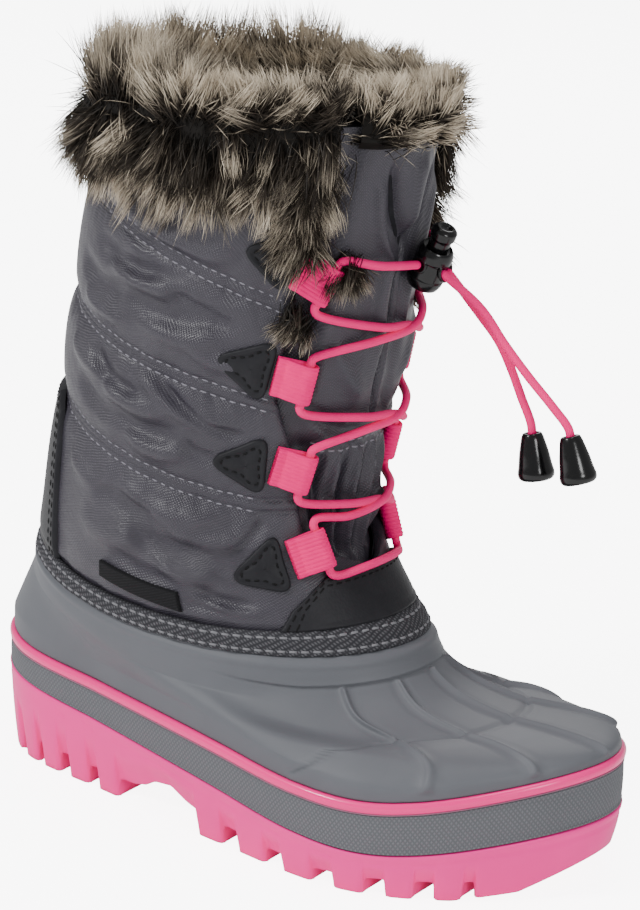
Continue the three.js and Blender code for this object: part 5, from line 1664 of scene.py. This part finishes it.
def build_tails():
    cord = own_material("cord", cord_material, "cord")
    plastic = own_material("plastic", plastic_material, "plastic")
    for k, (name, at, bell) in enumerate(TAILS):
        points = [np.array([x - HEEL_SPOT, y, z], float) for x, y, z in at]
        centre = np.array([bell[0] - HEEL_SPOT, bell[1], bell[2]], float)
        axis = unit(centre - points[-1])
        mouth = centre - axis * (BELL_LENGTH / 2 - 1.5)
        start = LOCK_CENTRE + np.array([LOCK_RADIUS - 1.2, k * 3.6 - 1.8, -1])
        path = smooth_path([start, *points, mouth], 0.8)
        tail = tube_object(f"cord_tail_{name}", path, cord_radius(), sides=14)
        finish(tail, cord, "cord", f"lace_tail_{name}")
        half = BELL_LENGTH / 2
        profile = round_profile([
            (0.01, -half + 1.2), (1.7, -half + 1.2), (2.0, -half), (3.2, -half), (3.8, -half + 1.4),
            (5.1, -half + 7.0), (5.75, half - 4.6), (BELL_RADIUS + 0.05, half - 2.6),
            (BELL_RADIUS - 0.1, half - 1.0),
            (BELL_RADIUS * 0.82, half), (3.4, half), (3.0, half - 0.6), (0.01, half - 0.6),
        ], 1.0)
        piece = lathe_object(f"bell_{name}", profile, matrix_to(axis, centre))
        finish(piece, plastic, "plastic", f"cord_bell_{name}")


def build_lock():
    plastic = own_material("plastic", plastic_material, "plastic")
    half = LOCK_LENGTH / 2
    body = round_profile([
        (0.01, -half + 0.6), (3.4, -half + 0.6), (3.9, -half), (5.3, -half), (LOCK_RADIUS - 0.2, -half + 2.2),
        (LOCK_RADIUS, -half + 4), (LOCK_RADIUS - 0.35, -half + 4.6), (LOCK_RADIUS - 0.35, half - 5.2),
        (LOCK_RADIUS, half - 4.6), (LOCK_RADIUS, half - 2.6), (LOCK_RADIUS * 0.88, half - 0.8), (5.0, half),
        (4.7, half - 0.9), (0.01, half - 0.9),
    ], 0.8)
    piece = lathe_object("cord_lock_barrel", body, matrix_to(LOCK_AXIS, LOCK_CENTRE), sides=64)
    finish(piece, plastic, "plastic", "cord_lock_body")
    base = LOCK_CENTRE + LOCK_AXIS * (half - 1.0)
    top = BUTTON_LENGTH + 1.3
    knob = [
        (0.01, 0), (BUTTON_RADIUS * 0.84, 0), (BUTTON_RADIUS * 0.84, top * 0.45), (BUTTON_RADIUS, top * 0.55),
        (BUTTON_RADIUS, top - 1.2), (BUTTON_RADIUS * 0.72, top), (BUTTON_RADIUS * 0.45, top - 0.2),
        (BUTTON_RADIUS * 0.3, top - 0.9), (0.01, top - 1.0),
    ]
    push = lathe_object("cord_lock_push", round_profile(knob, 0.5, 4), matrix_to(LOCK_AXIS, base), sides=48)
    finish(push, plastic, "plastic", "cord_lock_button")
    rims = []
    for side in (1, -1):
        hole = LOCK_CENTRE + np.array([-0.5, -side * LOCK_RADIUS * 0.98, 1])
        rims.append((hole, np.array([0, -side, 0.0])))
    rims.append((LOCK_CENTRE + np.array([LOCK_RADIUS * 0.94, 0, -1]), np.array([1.0, 0, 0])))
    for k, (centre, axis) in enumerate(rims):
        wide = 2.4 if k < 2 else 3.6
        turn = np.radians(np.arange(0, 361, 15))
        section = [(wide + 0.55 * math.cos(a), 0.55 * math.sin(a)) for a in turn[:-1]]
        rim = lathe_object(f"cord_lock_rim_{k + 1}", section, matrix_to(unit(axis), centre), sides=32)
        finish(rim, plastic, "plastic")


# Fur: a dark pile base in the shape of the trim, and hairs that gather in locks
COLLAR_PILE = {
    "s": [0, 0.15, 0.32, 0.48, 0.62, 0.76, 0.9, 1],
    "low": [0.72, 0.45, 0.18, 0, 0, 0, 0, 0.2],
    "out": [0.8, 3.6, 4.8, 4.2, 0.6, -4.5, -8.2, -8.0],
    "lift": [0, 0, 0, 4.5, 7.5, 6.5, 2.0, -3.0],
}
TRIM_PILE = {
    "s": [0, 0.2, 0.45, 0.65, 0.85, 1],
    "low": [0.26, 0.14, 0, 0, 0, 0.1],
    "out": [1.0, 3.8, 3.4, 0.2, -6.0, -7.5],
    "lift": [0, 0, 4.5, 7.5, 5.5, -1.0],
}


def collar_point(degrees, s):
    low = np.interp(s, COLLAR_PILE["s"], COLLAR_PILE["low"])
    out = np.interp(s, COLLAR_PILE["s"], COLLAR_PILE["out"])
    lift = np.interp(s, COLLAR_PILE["s"], COLLAR_PILE["lift"])
    front = 1 - smooth((fold_degrees(degrees) - 40) / 95)
    t = COLLAR - low * (0.85 + 0.4 * front)
    past_tongue = (TONGUE_WALL + 1) * (s > 0.8) * (1 - smooth((fold_degrees(degrees) - 54) / 7))
    bulk = 1 + 0.18 * waves(degrees * 1.1, s * 40, 22, 61)
    puff = np.where(out > 0, np.maximum(0, shaft_puff(degrees, t)), 0)
    return on_last(degrees, t, out * bulk + puff - past_tongue, lift * bulk)


def trim_point(degrees, s):
    low = np.interp(s, TRIM_PILE["s"], TRIM_PILE["low"])
    out = np.interp(s, TRIM_PILE["s"], TRIM_PILE["out"])
    lift = np.interp(s, TRIM_PILE["s"], TRIM_PILE["lift"])
    t = COLLAR - low
    return on_last(degrees, t, tongue_offset(degrees, t) + out, lift)


STRIP = [(48, 13.9), (50, 13.5), (50.5, 13.1), (49.5, 12.8), (47.5, 12.55)]
TUFTS = [((47.5, 11.62), (44, 11.45)), ((33, 12.28), (29, 12.2))]


def strip_points(spots, side, share, lift):
    """Points along a line of (degrees, section) spots, lifted off the shaft."""
    spots = np.asarray(spots, float)
    at = np.linspace(0, 1, len(spots))
    return on_last(side * np.interp(share, at, spots[:, 0]), np.interp(share, at, spots[:, 1]), lift)


def lock_fields(rng, count, point_at, degrees_range, combing):
    """Roots, directions and the like of locks spread over a pile surface."""
    degrees = rng.uniform(*degrees_range, count)
    s = rng.uniform(0, 1, count) ** 0.9
    root = point_at(degrees, s)
    around = point_at(degrees + 0.5, s) - point_at(degrees - 0.5, s)
    over = point_at(degrees, np.clip(s + 0.02, 0, 1)) - point_at(degrees, np.clip(s - 0.02, 0, 1))
    normal = unit(np.cross(over, around))
    around = unit(around)
    over = unit(over)
    heading = combing(degrees, s)
    swirl = 0.75 * waves(degrees * 1.2, s * 60, 45, 62) + 0.35 * rng.standard_normal(count)
    lay = over * heading[:, None] + around * swirl[:, None]
    direction = unit(normal * rng.uniform(0.3, 0.75, count)[:, None] + unit(lay))
    return {"degrees": degrees, "s": s, "root": root, "normal": normal, "around": around, "over": over,
            "direction": direction}


# How far hairs may reach past the solid model's box, in mm along x, y and z
FUR_ROOM = np.array([16.0, 12.3, 16.8])


def make_hairs(rng, locks, lengths, brightness, count, spread):
    """Hairs as thin tapered ribbons; each leans towards its lock's own line."""
    k = rng.integers(0, len(lengths), count)
    scatter = rng.normal(0, spread, (count, 2))
    offset = locks["around"][k] * scatter[:, :1] + locks["over"][k] * scatter[:, 1:]
    start = locks["root"][k] + offset - locks["normal"][k] * 0.8
    wild = rng.random(count) < 0.12
    own = unit(locks["direction"][k] + rng.normal(0, 0.16, (count, 3)) * np.where(wild, 3.2, 1.0)[:, None])
    length = lengths[k] * rng.uniform(0.6, 1.08, count)
    bend = rng.normal(0, 0.22, (count, 3)) + np.array([0, 0, -0.16])
    u = np.linspace(0, 1, 5)
    line = start[:, None] + own[:, None] * (length[:, None] * u)[..., None]
    line += bend[:, None] * (length[:, None] * u ** 2)[..., None] * 0.9
    tip = locks["root"][k] + locks["direction"][k] * lengths[k][:, None]
    centre = locks["root"][k][:, None] + (tip - locks["root"][k])[:, None] * u[None, :, None]
    pull = (np.where(wild, 0.1, 0.72)[:, None] * u ** 1.3)[..., None]
    line = line * (1 - pull) + (centre + (line - line[:, :1]) * 0.12) * pull
    reach = line - line[:, :1]
    box_low, box_high = (np.array(corner) / MM for corner in CAD_BOX)
    past = np.maximum(line - box_high - FUR_ROOM, box_low - FUR_ROOM - line)
    keep = np.where(past > 0, 1 - past / np.maximum(np.abs(reach), 1e-6), 1).min(axis=(1, 2))
    line = line[:, :1] + reach * keep[:, None, None]
    tangent = unit(np.gradient(line, axis=1))
    side = unit(np.cross(tangent, rng.standard_normal((count, 1, 3))))
    width = 0.34 * np.array([1, 1, 0.85, 0.6]) * rng.uniform(0.7, 1.2, (count, 1))
    left = line[:, :4] - side[:, :4] * (width / 2)[..., None]
    right = line[:, :4] + side[:, :4] * (width / 2)[..., None]
    points = np.concatenate([left, right, line[:, 4:]], axis=1)
    base = (9 * np.arange(count))[:, None, None]
    quads = np.array([[0, 4, 5, 1], [1, 5, 6, 2], [2, 6, 7, 3]])[None] + base
    tips = np.array([[3, 7, 8]])[None] + base
    bright = (brightness[k] * rng.uniform(0.75, 1.2, count))[:, None]
    tone = np.clip(np.concatenate([u[:4], u[:4], u[4:]])[None] ** 1.15 * bright, 0, 1)
    return points.reshape(-1, 3), quads.reshape(-1, 4), tips.reshape(-1, 3), tone.ravel()


def hair_object(name, material, sets):
    points, quads, tips, tones, base = [], [], [], [], 0
    for p, q, t, tone in sets:
        points.append(p)
        quads.append(q + base)
        tips.append(t + base)
        tones.append(tone)
        base += len(p)
    obj = new_object(name, np.concatenate(points), [np.concatenate(quads), np.concatenate(tips)],
                     tone=np.concatenate(tones))
    return finish(obj, material, "fur")


def patchy(degrees, s, seed):
    """Bright and dark areas of the pile."""
    field = waves(degrees * 1.2, s * 60, 30, seed) + 0.6 * waves(degrees * 1.2, s * 60, 12, seed + 1)
    return 1.0 + 0.6 * np.clip(field, -0.75, 0.75)


def build_fur():
    rng = np.random.default_rng(SEED)
    shown = colours()
    fur = own_material("fur", fur_material, "fur_root", tuple(shown.fur_middle), tuple(shown.fur_tip))
    longest = sizes().fur / MM
    half = float(throat_half(COLLAR)) + 1.5
    for name, point_at, low, high, node in (
        ("collar_pile", collar_point, half, 360 - half, "fur_collar"),
        ("tongue_pile", trim_point, -half + 8, half - 8, "fur_tongue_trim"),
    ):
        degrees = np.linspace(low, high, 150)
        grid = np.array([point_at(degrees, np.full(150, s)) for s in np.linspace(0, 1, 26)])
        pile = grid_object(name, grid, flip=True, tone=np.full(grid.shape[:2], 0.05))
        finish(pile, fur, "fur", node)
    hairs, lock_count = sizes().hairs, sizes().locks

    def comb_collar(degrees, s):
        return np.where(s < 0.42, -1.0, np.where(s < 0.62, 0.15, 0.5)) + 0.25 * waves(degrees, s * 30, 50, 63)

    for tag, span, seed in (("lateral", (half, 180), 64), ("medial", (180, 360 - half), 66)):
        locks = lock_fields(rng, int(lock_count * 0.4), collar_point, span, comb_collar)
        upper = smooth((locks["s"] - 0.36) / 0.16)
        up = np.array([0, 0, 1.0])
        locks["direction"] = unit(locks["direction"] + up * (0.75 * upper)[:, None])
        tall = smooth((fold_degrees(locks["degrees"]) - 75) / 40)
        locks["direction"] = unit(locks["direction"] + up * (0.9 * upper * tall)[:, None])
        lengths = longest * (0.8 + (0.38 * tall - 0.2) * upper) * rng.uniform(0.65, 1.08, len(upper))
        middle = bump(locks["s"] - 0.3, 0.1)
        bright = patchy(locks["degrees"], locks["s"], seed) * (1.15 - 0.75 * middle)
        shown_hairs = make_hairs(rng, locks, lengths, bright, int(hairs * 0.385), 2.3)
        hair_object(f"fur_hairs_{tag}", fur, [shown_hairs])

    sets = []
    locks = lock_fields(rng, int(lock_count * 0.16), trim_point, (-half + 8, half - 8),
                        lambda degrees, s: np.where(s < 0.3, -0.35, 0.4))
    locks["direction"] = unit(locks["direction"] + np.array([0.1, 0, 0.9]))
    lengths = longest * 0.55 * rng.uniform(0.65, 1.05, len(locks["s"]))
    bright = 0.25 + patchy(locks["degrees"], locks["s"], 68)
    sets.append(make_hairs(rng, locks, lengths, bright, int(hairs * 0.12), 1.9))
    hair_object("fur_hairs_tongue", fur, sets)

    sets = []
    for _, side in SIDES:
        for spots, count, share, reach in ((STRIP, 95, 0.045, 0.65), (TUFTS[0], 26, 0.01, 0.4),
                                           (TUFTS[1], 30, 0.012, 0.5)):
            along = rng.uniform(0, 1, count)
            root = strip_points(spots, side, along, 1.0) + rng.normal(0, 1.7, (count, 3))
            out = unit(strip_points(spots, side, along, 3.0) - strip_points(spots, side, along, 0.0))
            ahead = unit(np.cross(out, np.array([0, 0, 1.0])) * side)
            down = np.array([0, 0, -1.0])
            lay = ahead * rng.normal(0.25, 0.5, count)[:, None] + down * rng.uniform(0.4, 1.0, count)[:, None]
            fields = {"root": root + out * rng.uniform(0, 3.0, count)[:, None],
                      "normal": out, "around": ahead,
                      "over": np.broadcast_to(down, root.shape),
                      "direction": unit(lay + out * rng.uniform(0.2, 0.8, count)[:, None])}
            lengths = longest * reach * rng.uniform(0.7, 1.05, count)
            bright = 0.5 + 0.5 * rng.random(count)
            sets.append(make_hairs(rng, fields, lengths, bright, int(hairs * share), 1.6))
    hair_object("fur_hairs_throat", fur, sets)


# Studio: white floor, soft boxes and an even sky
FLOOR_HALF = 9000
LIGHTS = [
    {"name": "key", "at": (-0.7, -1.2, 1.3), "size": 0.4, "power": 26.0},
    {"name": "fill", "at": (1.5, -0.8, 0.8), "size": 0.5, "power": 10.0},
    {"name": "top", "at": (0.2, -0.1, 1.9), "size": 0.5, "power": 9.0},
    {"name": "rim", "at": (-0.6, 1.4, 0.9), "size": 0.8, "power": 6.0},
]


def build_stage():
    corners = FLOOR_HALF * np.array([[-1, -1, 0], [1, -1, 0], [1, 1, 0], [-1, 1, 0]], float)
    floor = new_object("studio_floor", corners, [np.array([[0, 1, 2, 3]])], body=None)
    material, tree, surface = new_material("studio_white")
    set_surface(surface, tuple(colours().floor), Roughness=0.9)
    surface.inputs["Emission Color"].default_value = (1, 1, 1, 1)
    seen = add_node(tree, "ShaderNodeLightPath").outputs["Is Camera Ray"]
    glow = combine(tree, "ADD", combine(tree, "MULTIPLY", seen, 7.0), 0.15)
    tree.links.new(glow, surface.inputs["Emission Strength"])
    floor.data.materials.append(material)
    world = bpy.data.worlds.new("studio")
    bpy.context.scene.world = world
    world.use_nodes = True
    background = world.node_tree.nodes["Background"]
    background.inputs["Color"].default_value = (1, 1, 1, 1)
    background.inputs["Strength"].default_value = 0.5
    target = Vector((0.08, 0, 0.12))
    for light in LIGHTS:
        data = bpy.data.lights.new(light["name"], "AREA")
        data.shape = "DISK"
        data.size = light["size"]
        data.energy = light["power"]
        lamp = bpy.data.objects.new(light["name"], data)
        lamp.location = light["at"]
        lamp.rotation_euler = (target - Vector(light["at"])).to_track_quat("-Z", "Y").to_euler()
        bpy.context.scene.collection.objects.link(lamp)


# Operators, panel and registration
class BOOT_OT_stage(bpy.types.Operator):
    """White floor, soft lights and sky"""
    bl_idname = "boot.stage"
    bl_label = "Studio"

    def execute(self, context):
        build_stage()
        return {"FINISHED"}


class BOOT_OT_tails(bpy.types.Operator):
    """The two free ends of the elastic cord, each with its moulded bell"""
    bl_idname = "boot.tails"
    bl_label = "Cord tails"

    def execute(self, context):
        build_tails()
        return {"FINISHED"}


class BOOT_OT_lace(bpy.types.Operator):
    """The elastic cord, in one length from the lock through all the loops and back"""
    bl_idname = "boot.lace"
    bl_label = "Lace"

    def execute(self, context):
        build_lace()
        return {"FINISHED"}


class BOOT_OT_lock(bpy.types.Operator):
    """The barrel, its push button and the rims of its cord holes"""
    bl_idname = "boot.lock"
    bl_label = "Cord lock"

    def execute(self, context):
        build_lock()
        return {"FINISHED"}


class BOOT_OT_outsole(bpy.types.Operator):
    """Wedge outsole with its cleats, recesses and bars"""
    bl_idname = "boot.outsole"
    bl_label = "Outsole"

    def execute(self, context):
        build_outsole()
        return {"FINISHED"}


class BOOT_OT_bands(bpy.types.Operator):
    """Textured foxing strip and glossy piping with its pale edge"""
    bl_idname = "boot.bands"
    bl_label = "Sole bands"

    def execute(self, context):
        build_sole_bands()
        return {"FINISHED"}


class BOOT_OT_insole(bpy.types.Operator):
    """Felt insole with a turned-up edge"""
    bl_idname = "boot.insole"
    bl_label = "Insole"

    def execute(self, context):
        build_insole()
        return {"FINISHED"}


class BOOT_OT_shell(bpy.types.Operator):
    """Moulded rubber shell with ribs, toe-cap line and stepped top band"""
    bl_idname = "boot.shell"
    bl_label = "Shell"

    def execute(self, context):
        build_shell()
        return {"FINISHED"}


class BOOT_OT_shaft(bpy.types.Operator):
    """Quilted nylon shaft with its seams, stitches and lining"""
    bl_idname = "boot.shaft"
    bl_label = "Shaft"

    def execute(self, context):
        build_shaft()
        return {"FINISHED"}


class BOOT_OT_tongue(bpy.types.Operator):
    """Puffed tongue with its folds, seam and lining"""
    bl_idname = "boot.tongue"
    bl_label = "Tongue"

    def execute(self, context):
        build_tongue()
        return {"FINISHED"}


class BOOT_OT_binding(bpy.types.Operator):
    """Woven strip over the seam of shell and shaft, with two rows of stitches"""
    bl_idname = "boot.binding"
    bl_label = "Binding"

    def execute(self, context):
        build_binding()
        return {"FINISHED"}


class BOOT_OT_panels(bpy.types.Operator):
    """Leather vamp patch and back stay, stitched twice, and the plain side tag"""
    bl_idname = "boot.panels"
    bl_label = "Panels"

    def execute(self, context):
        build_panels()
        return {"FINISHED"}


class BOOT_OT_patches(bpy.types.Operator):
    """Eight stitched corner patches beside the throat"""
    bl_idname = "boot.patches"
    bl_label = "Patches"

    def execute(self, context):
        build_patches()
        return {"FINISHED"}


class BOOT_OT_loops(bpy.types.Operator):
    """Eight ribbed webbing loops with their stitches"""
    bl_idname = "boot.loops"
    bl_label = "Loops"

    def execute(self, context):
        build_loops()
        return {"FINISHED"}


class BOOT_OT_fur(bpy.types.Operator):
    """Dark pile and its hairs round the collar, the throat and the tongue"""
    bl_idname = "boot.fur"
    bl_label = "Fur"

    def execute(self, context):
        build_fur()
        return {"FINISHED"}


OPERATORS = (
    BOOT_OT_stage, BOOT_OT_tails, BOOT_OT_lace,
    BOOT_OT_lock, BOOT_OT_outsole, BOOT_OT_bands,
    BOOT_OT_insole, BOOT_OT_shell, BOOT_OT_shaft,
    BOOT_OT_tongue, BOOT_OT_binding, BOOT_OT_panels,
    BOOT_OT_patches, BOOT_OT_loops, BOOT_OT_fur,
)


class BOOT_PT_panel(bpy.types.Panel):
    """Sizes, colours and pieces of the snow boot"""
    bl_idname = "BOOT_PT_panel"
    bl_label = "Snow boot"
    bl_space_type = "VIEW_3D"
    bl_region_type = "UI"
    bl_category = "Snow boot"

    def draw(self, context):
        for group in (context.scene.boot_sizes, context.scene.boot_colours):
            box = self.layout.box()
            for name in group.__annotations__:
                box.prop(group, name)
        for operator in OPERATORS:
            self.layout.operator(operator.bl_idname)


CLASSES = (BootSizes, BootColours, *OPERATORS, BOOT_PT_panel)


def register():
    for cls in CLASSES:
        bpy.utils.register_class(cls)
    bpy.types.Scene.boot_sizes = bpy.props.PointerProperty(type=BootSizes)
    bpy.types.Scene.boot_colours = bpy.props.PointerProperty(type=BootColours)


def unregister():
    del bpy.types.Scene.boot_colours
    del bpy.types.Scene.boot_sizes
    for cls in reversed(CLASSES):
        bpy.utils.unregister_class(cls)


def main():
    register()
    place_camera()
    for operator in OPERATORS:
        family, name = operator.bl_idname.split(".")
        getattr(getattr(bpy.ops, family), name)()


if __name__ == "__main__":
    main()
